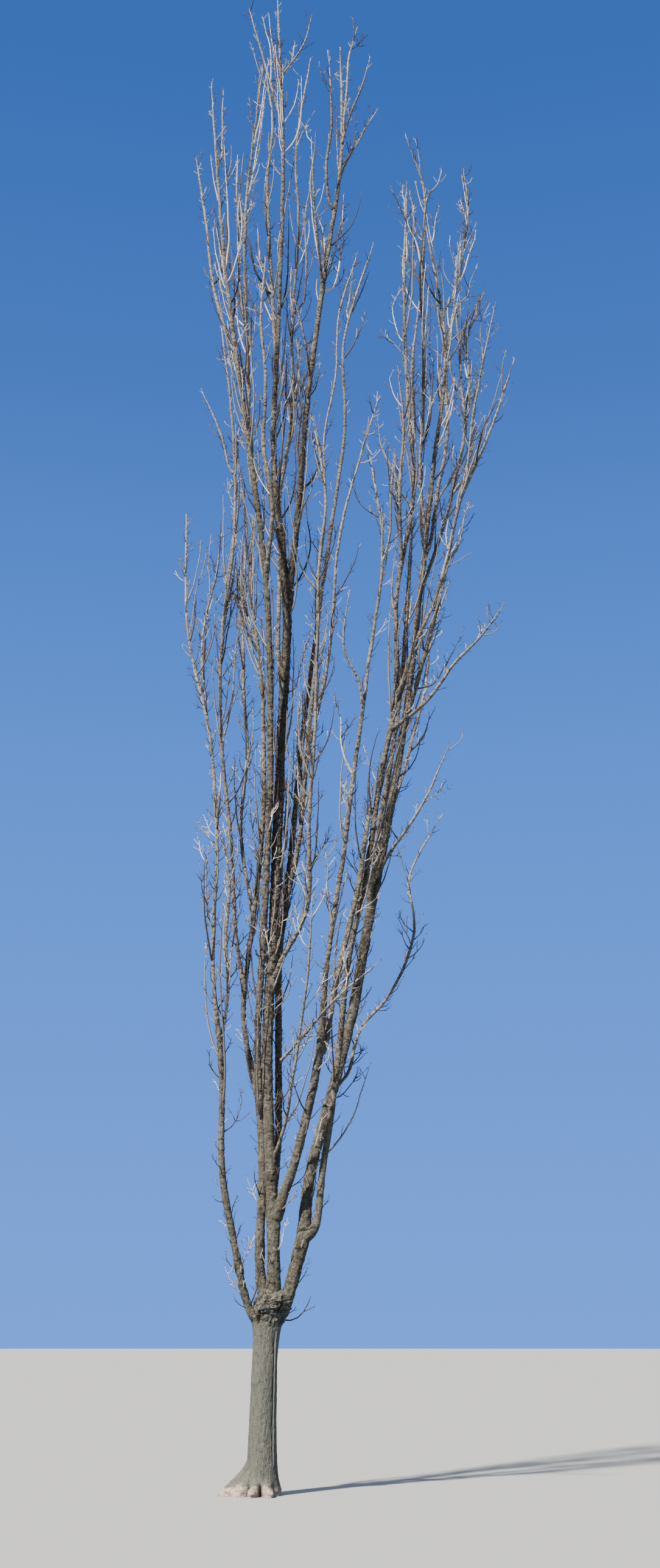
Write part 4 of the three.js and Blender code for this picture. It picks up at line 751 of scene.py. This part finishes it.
def make_limb(b, number):
    r0 = b.radii[0]
    sides = 44 if b.name == "leader" else 32 if r0 > 0.08 else 26 if r0 > 0.055 else 20 if r0 > 0.042 else 15 if r0 > 0.03 else 11 if r0 > 0.02 else 8
    step = float(np.clip(2 * math.pi * r0 / sides * 1.25, 0.013, 0.026))
    s = np.arange(0, b.length, step)
    near = [b.joints + d for d in (-0.006, 0.0, 0.006)]
    s = np.unique(np.round(np.concatenate([s, *near, [b.length]]), 4))
    s = s[(s >= 0) & (s <= b.length)]
    s = s[np.concatenate([[True], np.diff(s) > 0.0025])]
    c, r, ahead, side, over = frame_at(b, s)
    n = len(s)
    th = 2 * np.pi * np.arange(sides) / sides
    TH, K = np.meshgrid(th, np.arange(n))
    TH, K = TH.ravel(), K.ravel()
    S, R = s[K], r[K]
    Zc = c[K, 2]
    x, y = np.cos(TH) * R, np.sin(TH) * R
    seed = 300 + 11 * number
    thick = smooth(R, 0.014, 0.055)
    lump = (noise(np.stack([x / 0.11, y / 0.11, S / 0.22], 1), seed) - 0.5) * R * 0.13
    knobby = (noise(np.stack([x / 0.035, y / 0.035, S / 0.045], 1), seed + 1) - 0.5) * R * 0.11 * smooth(R, 0.012, 0.03)
    out = lump + knobby
    low, high, shag = SHAGGY.get(b.name, (0, 0, 0))
    shaggy = shag * smooth(Zc, low, low + 1.2) * (1 - smooth(Zc, high - 1.2, high))
    cell = 0.018
    warp = (noise(np.stack([x / 0.06, y / 0.06, S / 0.12], 1), seed + 2) - 0.5) * 0.8
    fissure = cracks(np.stack([x / cell + warp, y / cell - warp, S / 0.10], 1), seed + 3, 0.22)
    plates = cracks(np.stack([x / 0.026 + warp, y / 0.026, S / 0.055], 1), seed + 4, 0.20)
    out -= (0.0022 * fissure) * thick * (1 - 0.4 * shaggy)
    out -= (0.0072 * plates + 0.003 * fissure) * shaggy
    out += (noise(np.stack([x / 0.02, y / 0.02, S / 0.05], 1), seed + 5) - 0.4) * 0.012 * shaggy
    # fissures and the gaps between shaggy plates are darkened: partly the bark's own dark and partly painted shade
    deep = np.clip(0.55 * fissure * thick + 0.95 * plates * shaggy, 0, 1)
    # joints: a slight ring, with a dark line and scars where shoots stood
    mark = np.zeros(len(S))
    where = np.searchsorted(b.joints, S)
    for off in (-1, 0):
        k = np.clip(where + off, 0, len(b.joints) - 1)
        d = S - b.joints[k]
        wide = 0.004 + 0.30 * R
        ring = np.exp(-((d / wide) ** 2))
        face = np.cos(2 * (TH - b.spin[k]))
        out += ring * R * (0.05 + 0.09 * np.clip(face, 0, 1)) * (1 - 0.6 * smooth(R, 0.02, 0.06))
        dark = np.exp(-(((d - 0.004) / 0.0095) ** 2))
        has = lattice(k.astype(np.int64), np.full(len(k), number), np.zeros(len(k), np.int64), 77)
        mark = np.maximum(mark, dark * np.where(has > 0.2, 0.45 + 0.55 * has, 0.0) * (1 - 0.55 * smooth(R, 0.02, 0.05)) * (0.55 + 0.45 * np.cos(TH - b.spin[k] + 2.0 * has)))
        scar = np.exp(-((d / (0.006 + 0.14 * R)) ** 2)) * np.exp(-(((1 - face) / 0.22) ** 2)) * smooth(R, 0.012, 0.022)
        out -= scar * 0.0025 * (has > 0.25)
        mark = np.maximum(mark, 0.8 * scar * (has > 0.25))
    # short dark cross marks and rough flakes between the joints
    dash = noise(np.stack([x / 0.030 + 9, y / 0.030, S / 0.017], 1), seed + 11)
    dash = smooth(dash, 0.63, 0.74) * smooth(R, 0.010, 0.018) * (1 - 0.5 * smooth(Zc, 2.4, 3.2) * smooth(-Zc, -4.6, -3.8))
    out -= dash * 0.0035
    mark = np.maximum(mark, 0.85 * dash)
    flake = noise(np.stack([x / 0.024, y / 0.024, S / 0.034], 1), seed + 12) - 0.5
    out += flake * 0.007 * smooth(R, 0.014, 0.032) * smooth(Zc, 3.6, 5.5)
    # painted shade in the dips between the flakes
    deep = np.clip(deep + smooth(-flake, 0.12, 0.26) * 0.8 * smooth(R, 0.014, 0.032) * smooth(Zc, 3.6, 5.5), 0, 1)
    # the wood swells where another limb leaves
    for child in b.children:
        cc, cr, ca, _, _ = frame_at(child, np.array([min(child.length * 0.5, float(np.interp(child.foot_s, b.arc, b.rad)) * 2.5)]))
        k = int(np.argmin(np.abs(s - child.foot_s)))
        v = cc[0] - c[k]
        v = v - ahead[k] * (v @ ahead[k])
        toward = math.atan2(v @ over[k], v @ side[k])
        slope = max(0.25, math.sqrt(max(0.0, 1 - float(ca[0] @ ahead[k]) ** 2)))
        at = child.foot_s + float(r[k]) / slope * 0.55
        span = 0.02 + 2.4 * float(cr[0])
        turn = np.abs((TH - toward + np.pi) % (2 * np.pi) - np.pi)
        swell = np.exp(-(((S - at) / span) ** 2) - (turn / 0.75) ** 2)
        out += swell * float(cr[0]) * 0.42
        # painted shade: a dark patch in the crotch above the leaving limb
        mark = np.maximum(mark, 0.32 * np.exp(-(((S - at - span * 0.75) / (0.35 * span)) ** 2) - (turn / 0.6) ** 2))
    # knobs, hollows and lichen on the feet of the stems, and single darker burls; painted shade darkens the hollows and
    # the burls' low places
    low_foot = smooth(-Zc, -2.95, -2.35) * smooth(R, 0.02, 0.04) * (1.0 if b.name in ("bough_inner_left", "bough_low_left") else 0.45)
    bulges = noise(np.stack([x / 0.055 + 3, y / 0.055, S / 0.085], 1), seed + 8)
    warts = noise(np.stack([x / 0.018, y / 0.018, S / 0.024], 1), seed + 9)
    out += low_foot * ((bulges - 0.45) * 0.022 + (warts - 0.5) * 0.011)
    deep = np.clip(deep + low_foot * (smooth(-bulges, -0.38, -0.18) * 0.5 + smooth(-warts, -0.34, -0.14) * 0.5), 0, 1)
    lichen = np.maximum(low_foot, 0.5 * smooth(-Zc, -9.0, -4.0)) * smooth(noise(np.stack([x / 0.05, y / 0.05, S / 0.08], 1), seed + 10), 0.56, 0.74) * smooth(R, 0.02, 0.05)
    for at_z, toward, size, reach in WARTS.get(b.name, ()):
        k = int(np.argmin(np.abs(c[:, 2] - at_z)))
        v = np.array([math.cos(math.radians(toward)), math.sin(math.radians(toward)), 0.0])
        turn = np.abs((TH - math.atan2(v @ over[k], v @ side[k]) + np.pi) % (2 * np.pi) - np.pi)
        burl = np.exp(-(((S - s[k]) / size) ** 2) - (turn * r[k] / size) ** 2)
        out += burl * (reach + (bulges - 0.5) * 0.05 + (warts - 0.5) * 0.03)
        deep = np.clip(deep + burl * (0.25 + smooth(-bulges, -0.5, -0.3) * 0.6), 0, 1)
    algae = np.zeros(len(S))
    if b.name == "bough_inner_left":
        algae = smooth(Zc, 8.6, 10.2) * (1 - smooth(Zc, 12.0, 13.4)) * smooth(-np.sin(TH) * 0.5 - np.cos(TH), -0.4, 0.9)
    elif b.name in ("leader", "bough_mid_left", "bough_right_lit"):
        algae = 0.35 * smooth(noise(np.stack([x / 0.2, y / 0.2, S / 0.9], 1), seed + 6), 0.55, 0.8) * smooth(-Zc, -9.0, -3.0)
    algae = np.maximum(algae, 0.5 * smooth(-Zc, -4.2, -2.6))
    tone = smooth(noise(np.stack([x / 0.3, y / 0.3, S / 0.55], 1), seed + 7), 0.46, 0.74)
    age = np.clip((R - 0.007) / 0.058, 0, 1) * (0.72 + 0.28 * smooth(-Zc, -9.0, -4.0))
    radius = R + out
    rings = (c[K] + side[K] * (np.cos(TH) * radius)[:, None] + over[K] * (np.sin(TH) * radius)[:, None]).reshape(n, sides, 3)
    values = {k: v.reshape(n, sides) for k, v in {"age": age, "deep": deep, "mark": mark, "algae": algae, "tone": tone, "lichen": lichen, "foot": smooth(-Zc, -4.4, -2.6)}.items()}
    if b.name == "stub_broken":
        # torn wood: a ragged rim with splinters, round a hollow
        rag = noise(np.stack([np.cos(th) * 1.6 + 5, np.sin(th) * 1.6, np.zeros(sides)], 1), 91) * 0.10
        rag += noise(np.stack([np.cos(th) * 4 + 5, np.sin(th) * 4, np.zeros(sides)], 1), 92) * 0.05 - 0.09
        tail = smooth(s, b.length - 0.12, b.length)
        rings += (ahead[-1] * rag[:, None])[None] * tail[:, None, None]
        inner = []
        for f, drop in ((0.78, 0.006), (0.6, 0.035), (0.3, 0.06), (0.08, 0.07)):
            inner.append(c[-1] + (rings[-1] - c[-1]) * f - ahead[-1] * drop)
        rings = np.concatenate([rings, np.stack(inner)])
        s = np.concatenate([s, s[-1] + 0.02 * np.arange(1, 5)])
        for k in values:
            values[k] = np.concatenate([values[k]] + [values[k][-1:]] * 4)
        # painted shade: the rim and the hollow of the torn end are darkened
        values["mark"][-5:] = 0.8
        values["age"][-5:] = 0.3
    piece = skin(rings, s, values, b.name + "_bark", 2 * math.pi * r0)
    piece.data.materials.append(BOUGH_BARK)
    return piece


# ---- twigs ---------------------------------------------------------------------------------
strands = {}


def put(kind, P, R, sides):
    strands.setdefault((kind, len(P), sides), []).append((P, R))


def unit(v):
    return v / math.sqrt(float(v @ v))


LOW = np.array([CAD_BOX[0][k] - 0.025 * (CAD_BOX[1][k] - CAD_BOX[0][k]) for k in range(3)])
HIGH = np.array([CAD_BOX[1][k] + 0.025 * (CAD_BOX[1][k] - CAD_BOX[0][k]) for k in range(3)])
LOW[2] = 0.05


def inside(P):
    """Whether all points keep within the solids' box and a little round it."""
    return bool(np.all(P > LOW) and np.all(P < HIGH))


def bud(p, d, size):
    """A pointed bud: a spindle on the end or side of a twig."""
    size = size * 1.35
    P = p + np.outer(np.array([-0.15, 0.40, 1.0]) * size, d)
    if inside(P):
        put("bud", P, np.array([0.19, 0.27, 0.0]) * size, 4)


def stem(p, d, length, r0, r1, count, rise, shake):
    """A path that bends up as it grows, and its radii."""
    P = np.empty((count, 3))
    P[0] = p
    step = length / (count - 1)
    jig = rng.normal(0, shake, (count, 3))
    for k in range(1, count):
        d = unit(d + UP * rise + jig[k])
        P[k] = P[k - 1] + d * step
    f = np.linspace(0, 1, count)
    return P, r0 + (r1 - r0) * f**0.8, d


def ahead_of(P, f):
    """Place and direction part of the way along a path."""
    x = f * (len(P) - 1)
    k = min(int(x), len(P) - 2)
    v = P[k + 1] - P[k]
    return P[k] + v * (x - k), unit(v), k


def out_of(d, spin, angle):
    """A direction at an angle from d, turned round it by spin."""
    a = np.cross(d, [0.31, 0.87, 0.38])
    a = unit(a)
    b = np.cross(d, a)
    return d * math.cos(angle) + (a * math.cos(spin) + b * math.sin(spin)) * math.sin(angle)


def tip_buds(P, d, size):
    bud(P[-1] - d * 0.002, d, size)
    if size > 0.0115:
        spin = rng.uniform(0, math.pi)
        for way in (0, math.pi):
            bud(P[-1] - d * 0.004, out_of(d, spin + way, 0.75), size * 0.62)


def spur(p, d, length, r, kind, depth=0):
    """A short side shoot with opposite twigs and a bud on each end."""
    count = 6 if length > 0.22 else 5 if length > 0.10 else 4
    P, R, end = stem(p, d, length, r, max(0.0019, r * 0.45), count, 0.27 if depth == 0 else 0.17, 0.17)
    if not inside(P):
        return
    put(kind, P, R, 4 if r > 0.0045 else 3)
    tip_buds(P, end, float(np.clip(0.007 + length * 0.02, 0.007, 0.012)) * rng.uniform(0.85, 1.2))
    if length < 0.05 or depth > 1:
        return
    pairs = int(np.clip(round(length / 0.06), 1, 6))
    spin = rng.uniform(0, 2 * math.pi)
    for k in range(pairs):
        f = 0.28 + 0.64 * (k + rng.uniform(0.1, 0.9)) / pairs
        q, v, _ = ahead_of(P, f)
        for way in (0, math.pi):
            draw = rng.random()
            if draw < 0.30:
                size = length * rng.uniform(0.20, 0.50) * (1.15 - 0.45 * f)
                spur(q, out_of(v, spin + way + rng.normal(0, 0.25), rng.uniform(0.6, 1.0)), max(size, 0.022), max(0.0024, r * 0.62), kind, depth + 1 if size > 0.06 else 2)
            elif draw < 0.42:
                bud(q + v * 0.001, out_of(v, spin + way, 0.7), 0.0065)
        spin += math.pi / 2 + rng.normal(0, 0.2)


def dealt(z, strand=False):
    """The colour of a whole spray, by height and chance: partly the twigs' own tones and partly painted light, cream
    for sunlit and grey and brown for shaded sprays, with more cream high up among the long strands.
    """
    pale = float(np.interp(z, [3, 9, 15, 20], [0.14, 0.28, 0.46, 0.52] if strand else [0.20, 0.22, 0.22, 0.22]))
    dark = float(np.interp(z, [3, 9, 15, 20], [0.28, 0.24, 0.20, 0.18] if strand else [0.32, 0.36, 0.40, 0.40]))
    draw = rng.random()
    return "cream" if draw < pale else "brown" if draw > 1 - dark else "tan" if draw < pale + (1 - pale - dark) * 0.6 else "grey"


def bristle(b):
    """Spur shoots, knots and buds at the joints of a limb."""
    c, r, ahead, side, over = frame_at(b, b.joints)
    kids = np.array([k.foot_s for k in b.children]) if b.children else np.array([-9.0])
    for k, s in enumerate(b.joints):
        rad, z = float(r[k]), float(c[k, 2])
        if np.min(np.abs(kids - s)) < 0.06:
            continue
        for way in (0, math.pi):
            spin = b.spin[k] + way + rng.normal(0, 0.2)
            flat = side[k] * math.cos(spin) + over[k] * math.sin(spin)
            foot = c[k] + flat * rad * 0.75
            draw = rng.random()
            if rad > 0.050:
                want = 0.62 if z < 10 else 0.50
            elif rad > 0.030:
                want = 0.70 if z < 10 else 0.64
            else:
                want = 0.70 if z < 8 else 0.68
            if draw < want:
                angle = rng.uniform(0.75, 1.25)
                d = unit(ahead[k] * math.cos(angle) + flat * math.sin(angle))
                middle = 0.135 if z < 8 else 0.090 if z < 14 else 0.076
                length = float(np.clip(rng.lognormal(math.log(middle), 0.68), 0.025, 0.55))
                spur(foot, d, length, float(np.clip(0.0036 + length * 0.014, 0.0038, 0.0095)), dealt(z))
            elif rad > 0.014 and draw < want + 0.16:
                size = float(np.clip(rad * rng.uniform(0.20, 0.36), 0.004, 0.010))
                d = unit(flat + ahead[k] * 0.5)
                P = foot + np.outer([0, 0.6, 1.0, 1.12], d) * (rad * 0.3 + size)
                put("knot" if rng.random() < 0.6 else "brown", P, np.array([1.25, 1.0, 0.7, 0]) * size * 0.75, 6)
            elif rad <= 0.014:
                bud(foot + flat * rad * 0.2, unit(ahead[k] + flat * 0.6), 0.008)


def finish_tip(b):
    """The last stretch of a limb beyond its solid: a fine leading twig with a fork or two."""
    c, r, ahead, side, over = frame_at(b, np.array([b.length]))
    if b.name == "stub_broken":
        return
    length = rng.uniform(0.06, 0.13)
    kind = "cream" if rng.random() < 0.6 else "tan"
    for _ in range(8):
        P, R, end = stem(c[0] - ahead[0] * 0.01, ahead[0], length, float(r[0]) * 0.98, 0.0022, 6, 0.05, 0.06)
        if inside(P):
            break
        length *= 0.6
    put(kind, P, R, 6)
    tip_buds(P, end, 0.012)
    for f in (0.3, 0.62, 0.85):
        q, v, _ = ahead_of(P, f)
        spin = rng.uniform(0, math.pi)
        for way in (0, math.pi):
            if rng.random() < 0.6:
                spur(q, out_of(v, spin + way, rng.uniform(0.5, 0.85)), length * rng.uniform(0.25, 0.6), 0.0034, kind, 1)


for number, b in enumerate(limbs.values()):
    b.number = number
crown = np.concatenate([b.path[::12] for b in limbs.values()])
owner = np.concatenate([np.full(len(b.path[::12]), b.number) for b in limbs.values()])


def long_shoot(b, s, length, toward):
    """A rising shoot of its own: it leaves a bough, bends up and runs beside it, with short opposite twigs."""
    length = min(length, b.length - s + 0.14)
    count = 14
    t = length * np.linspace(0, 1, count) ** 1.4
    c, r, ahead, side, over = frame_at(b, np.minimum(s + t, b.length))
    beyond = np.maximum(s + t - b.length, 0)
    gap = float(np.clip(rng.lognormal(math.log(0.15), 0.5), 0.05, 0.36)) * min(1.0, length / 0.7)
    turn = toward + rng.normal(0, 0.25) * t
    flat = side * np.cos(turn)[:, None] + over * np.sin(turn)[:, None]
    u = np.clip(t / min(0.9, length), 0, 1)
    away = r * 0.55 * (1 - u) + r[0] * 0.3 + gap * (1 - (1 - u) ** 2.2) + 0.03 * t
    P = c + ahead * beyond[:, None] + flat * away[:, None]
    for f, size in ((0.9, 0.022), (0.33, 0.014), (0.14, 0.0065)):
        for k in (0, 1, 2):
            P[:, k] += size * (wander(t + rng.uniform(0, 50), f, 61 + k)) * np.clip(t / 0.15, 0, 1) * (0.4 if k == 2 else 1)
    P[0] = c[0] + flat[0] * r[0] * 0.2
    if not inside(P):
        return False
    # it fills the crown between the boughs, and seldom stands outside them
    probe = P[[count // 2, -1]]
    near = [float(np.min(np.linalg.norm(crown[owner != b.number] - q, axis=1))) for q in probe]
    if max(near) > float(np.interp(P[-1, 2], [5, 9, 12], [0.24, 0.30, 0.38])) * (1 if rng.random() < 0.85 else 1.35):
        return False
    r0 = float(np.clip(0.0068 + 0.0046 * length, 0.0076, min(0.0145, r[0] * 0.75)))
    R = (r0 + (0.0040 - r0) * (t / length) ** 1.05) * (1 + 0.22 * np.exp(-(t / 0.045) ** 2))
    kind = dealt(float(P[-1, 2]), True)
    # low, thick cream strands turn tan: painted shade below the upper crown
    if kind == "cream" and r0 > 0.0105 and P[0, 2] < 15:
        kind = "tan"
    put(kind, P, R, 4)
    tip_buds(P, unit(P[-1] - P[-2]), 0.012)
    at, spin = 0.08, rng.uniform(0, math.pi)
    while at < length - 0.02:
        q, v, k = ahead_of(P, (at / length) ** (1 / 1.4))
        for way in (0, math.pi):
            draw = rng.random()
            if draw < 0.50:
                size = float(np.clip(rng.lognormal(math.log(0.062), 0.65), 0.022, 0.28))
                spur(q, out_of(v, spin + way, rng.uniform(0.6, 0.95)), size, float(np.clip(0.0033 + size * 0.013, 0.0033, max(0.0033, R[k] * 0.8))),
                     kind if rng.random() < 0.35 else dealt(float(q[2])), 1)
            elif draw < 0.62:
                bud(q, out_of(v, spin + way, 0.6), 0.0075)
        at += rng.uniform(0.055, 0.12)
        spin += math.pi / 2
    return True


def grow():
    for b in limbs.values():
        if not b.own:
            s = np.linspace(0, b.length, 18)
            c, r, *_ = frame_at(b, s)
            kind = dealt(float(c[-1, 2]), True)
            low = float(c[0, 2]) < 15
            # low strands mostly turn from cream to tan: painted shade below the upper crown
            put("tan" if kind == "grey" or (low and kind == "cream" and rng.random() < 0.7) else kind, c, np.concatenate([r[:-1], [r[-1] * 0.4]]), 7)
        bristle(b)
        finish_tip(b)
    # rising shoots, mostly on the upper halves of the boughs
    names = [b for b in limbs.values() if b.own and b.length > 1.2 and b.name != "stub_broken"]
    weight = np.array([b.length for b in names])
    made = 0
    for _ in range(4000):
        if made >= 450:
            break
        b = names[int(rng.choice(len(names), p=weight / weight.sum()))]
        s = b.length * rng.uniform(0.12, 0.93)
        z = float(np.interp(s, b.arc, b.path[:, 2]))
        if z < 3.4 or (z < 8 and rng.random() < 0.3):
            continue
        if float(np.interp(s, b.arc, b.path[:, 0])) > 0.9 and rng.random() < 0.35:
            continue
        length = float(np.clip(rng.lognormal(math.log(1.05), 0.45), 0.35, 2.6))
        made += long_shoot(b, s, length, rng.uniform(0, 2 * math.pi))
    global grown
    grown = made
    # a small knot of curled twigs near the top of the leader
    b = limbs["leader"]
    s = float(np.interp(21.02, b.path[:, 2], b.arc))
    c, r, ahead, side, over = frame_at(b, np.array([s]))
    for k in range(46):
        a = rng.uniform(0, 2 * math.pi)
        d = unit(np.array([math.cos(a), math.sin(a), rng.uniform(-0.3, 1.1)]))
        P, R, end = stem(c[0] + rng.normal(0, 0.02, 3), d, rng.uniform(0.05, 0.12), 0.003, 0.0013, 6, 0.10, 0.42)
        put("brown" if k % 3 else "tan", P, R, 4)
        bud(P[-1], end, 0.008)


# ---- put it together -----------------------------------------------------------------------
bole = make_bole()
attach(bole, "root")
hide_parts("trunk")

for number, row in enumerate(LIMBS):
    b = limbs[row[0]]
    piece = make_limb(b, number)
    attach(piece, "root")
    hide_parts(b.name)

grow()

total = 0
LIMIT = 185000
by_kind = {}
for (kind, count, sides), items in strands.items():
    by_kind.setdefault(kind, []).append((count, sides, items))
for kind in sorted(by_kind):
    groups, room, batch = [], LIMIT, []
    for count, sides, items in sorted(by_kind[kind], key=lambda g: g[:2]):
        cost = triangles(count, sides)
        at = 0
        while at < len(items):
            take = min(len(items) - at, max(0, room // cost))
            if take == 0:
                groups.append(batch)
                batch, room = [], LIMIT
                continue
            batch.append((sides, items[at : at + take]))
            room -= take * cost
            total += take * cost
            at += take
    groups.append(batch)
    for number, batch in enumerate(g for g in groups if g):
        verts, polys, base = [], {}, 0
        for sides, items in batch:
            v, faces = tubes(np.stack([i[0] for i in items]), np.stack([i[1] for i in items]), sides)
            for f in faces:
                polys.setdefault(f.shape[1], []).append(f + base)
            verts.append(v)
            base += len(v)
        piece = new_piece(f"{'buds' if kind == 'bud' else 'knots' if kind == 'knot' else 'twigs_' + kind}_{number + 1}",
                          np.concatenate(verts), [np.concatenate(p) for p in polys.values()])
        piece.data.materials.append(TWIG[kind])
        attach(piece, "root")
print("twig triangles", total, "long shoots", grown)

# ---- floor, backdrop and light -------------------------------------------------------------
ground = bpy.data.meshes.new("floor")
reach = 900.0
ground.from_pydata([(-reach, -reach, -0.0015), (reach, -reach, -0.0015), (reach, reach, -0.0015), (-reach, reach, -0.0015)], [], [(0, 1, 2, 3)])
floor = bpy.data.objects.new("floor", ground)
bpy.context.scene.collection.objects.link(floor)
pale = Shader("floor_pale", 0.85, 0.2)
pale.bsdf.inputs["Base Color"].default_value = (0.42, 0.415, 0.40, 1.0)
ground.materials.append(pale.mat)
floor.visible_diffuse = False

# a plain blue backdrop all round, which only the camera sees
R_SKY, BANDS, SPOKES = 700.0, 24, 48
dome = [(0.0, 0.0, R_SKY)]
for k in range(1, BANDS + 1):
    lift = math.pi / 2 - k * (math.pi / 2 + 0.1) / BANDS
    dome += [(R_SKY * math.cos(lift) * math.cos(2 * math.pi * i / SPOKES), R_SKY * math.cos(lift) * math.sin(2 * math.pi * i / SPOKES), R_SKY * math.sin(lift)) for i in range(SPOKES)]
faces = [(0, 1 + (i + 1) % SPOKES, 1 + i) for i in range(SPOKES)]
for k in range(BANDS - 1):
    a = 1 + k * SPOKES
    faces += [(a + i, a + (i + 1) % SPOKES, a + SPOKES + (i + 1) % SPOKES, a + SPOKES + i) for i in range(SPOKES)]
sky_mesh = bpy.data.meshes.new("backdrop")
sky_mesh.from_pydata(dome, [], faces)
backdrop = bpy.data.objects.new("backdrop", sky_mesh)
bpy.context.scene.collection.objects.link(backdrop)
blue = bpy.data.materials.new("backdrop_blue")
blue.use_nodes = True
tree = blue.node_tree
tree.nodes.clear()
place = tree.nodes.new("ShaderNodeTexCoord")
split = tree.nodes.new("ShaderNodeSeparateXYZ")
rise = tree.nodes.new("ShaderNodeMapRange")
rise.inputs["From Max"].default_value = R_SKY * 0.73
fade = tree.nodes.new("ShaderNodeValToRGB")
fade.color_ramp.elements[0].color = (0.150, 0.420, 1.30, 1.0)
fade.color_ramp.elements[1].color = (0.036, 0.142, 0.56, 1.0)
for at, colour in ((0.49, (0.085, 0.300, 1.05, 1.0)), (0.80, (0.054, 0.183, 0.68, 1.0))):
    fade.color_ramp.elements.new(at).color = colour
glow = tree.nodes.new("ShaderNodeEmission")
end = tree.nodes.new("ShaderNodeOutputMaterial")
tree.links.new(place.outputs["Object"], split.inputs[0])
tree.links.new(split.outputs["Z"], rise.inputs["Value"])
tree.links.new(rise.outputs[0], fade.inputs[0])
tree.links.new(fade.outputs[0], glow.inputs[0])
tree.links.new(glow.outputs[0], end.inputs[0])
sky_mesh.materials.append(blue)
for way in ("diffuse", "glossy", "transmission", "volume_scatter", "shadow"):
    setattr(backdrop, "visible_" + way, False)

world = bpy.data.worlds.new("studio")
bpy.context.scene.world = world
world.use_nodes = True
world.node_tree.nodes["Background"].inputs["Color"].default_value = (0.52, 0.66, 0.92, 1.0)
world.node_tree.nodes["Background"].inputs["Strength"].default_value = 0.56

key = bpy.data.objects.new("key", bpy.data.lights.new("key", "SUN"))
key.data.energy = 10.3
key.data.angle = math.radians(2.5)
key.data.color = (1.0, 0.96, 0.895)
key.rotation_euler = (math.radians(42), 0.0, math.radians(-38))
bpy.context.scene.collection.objects.link(key)
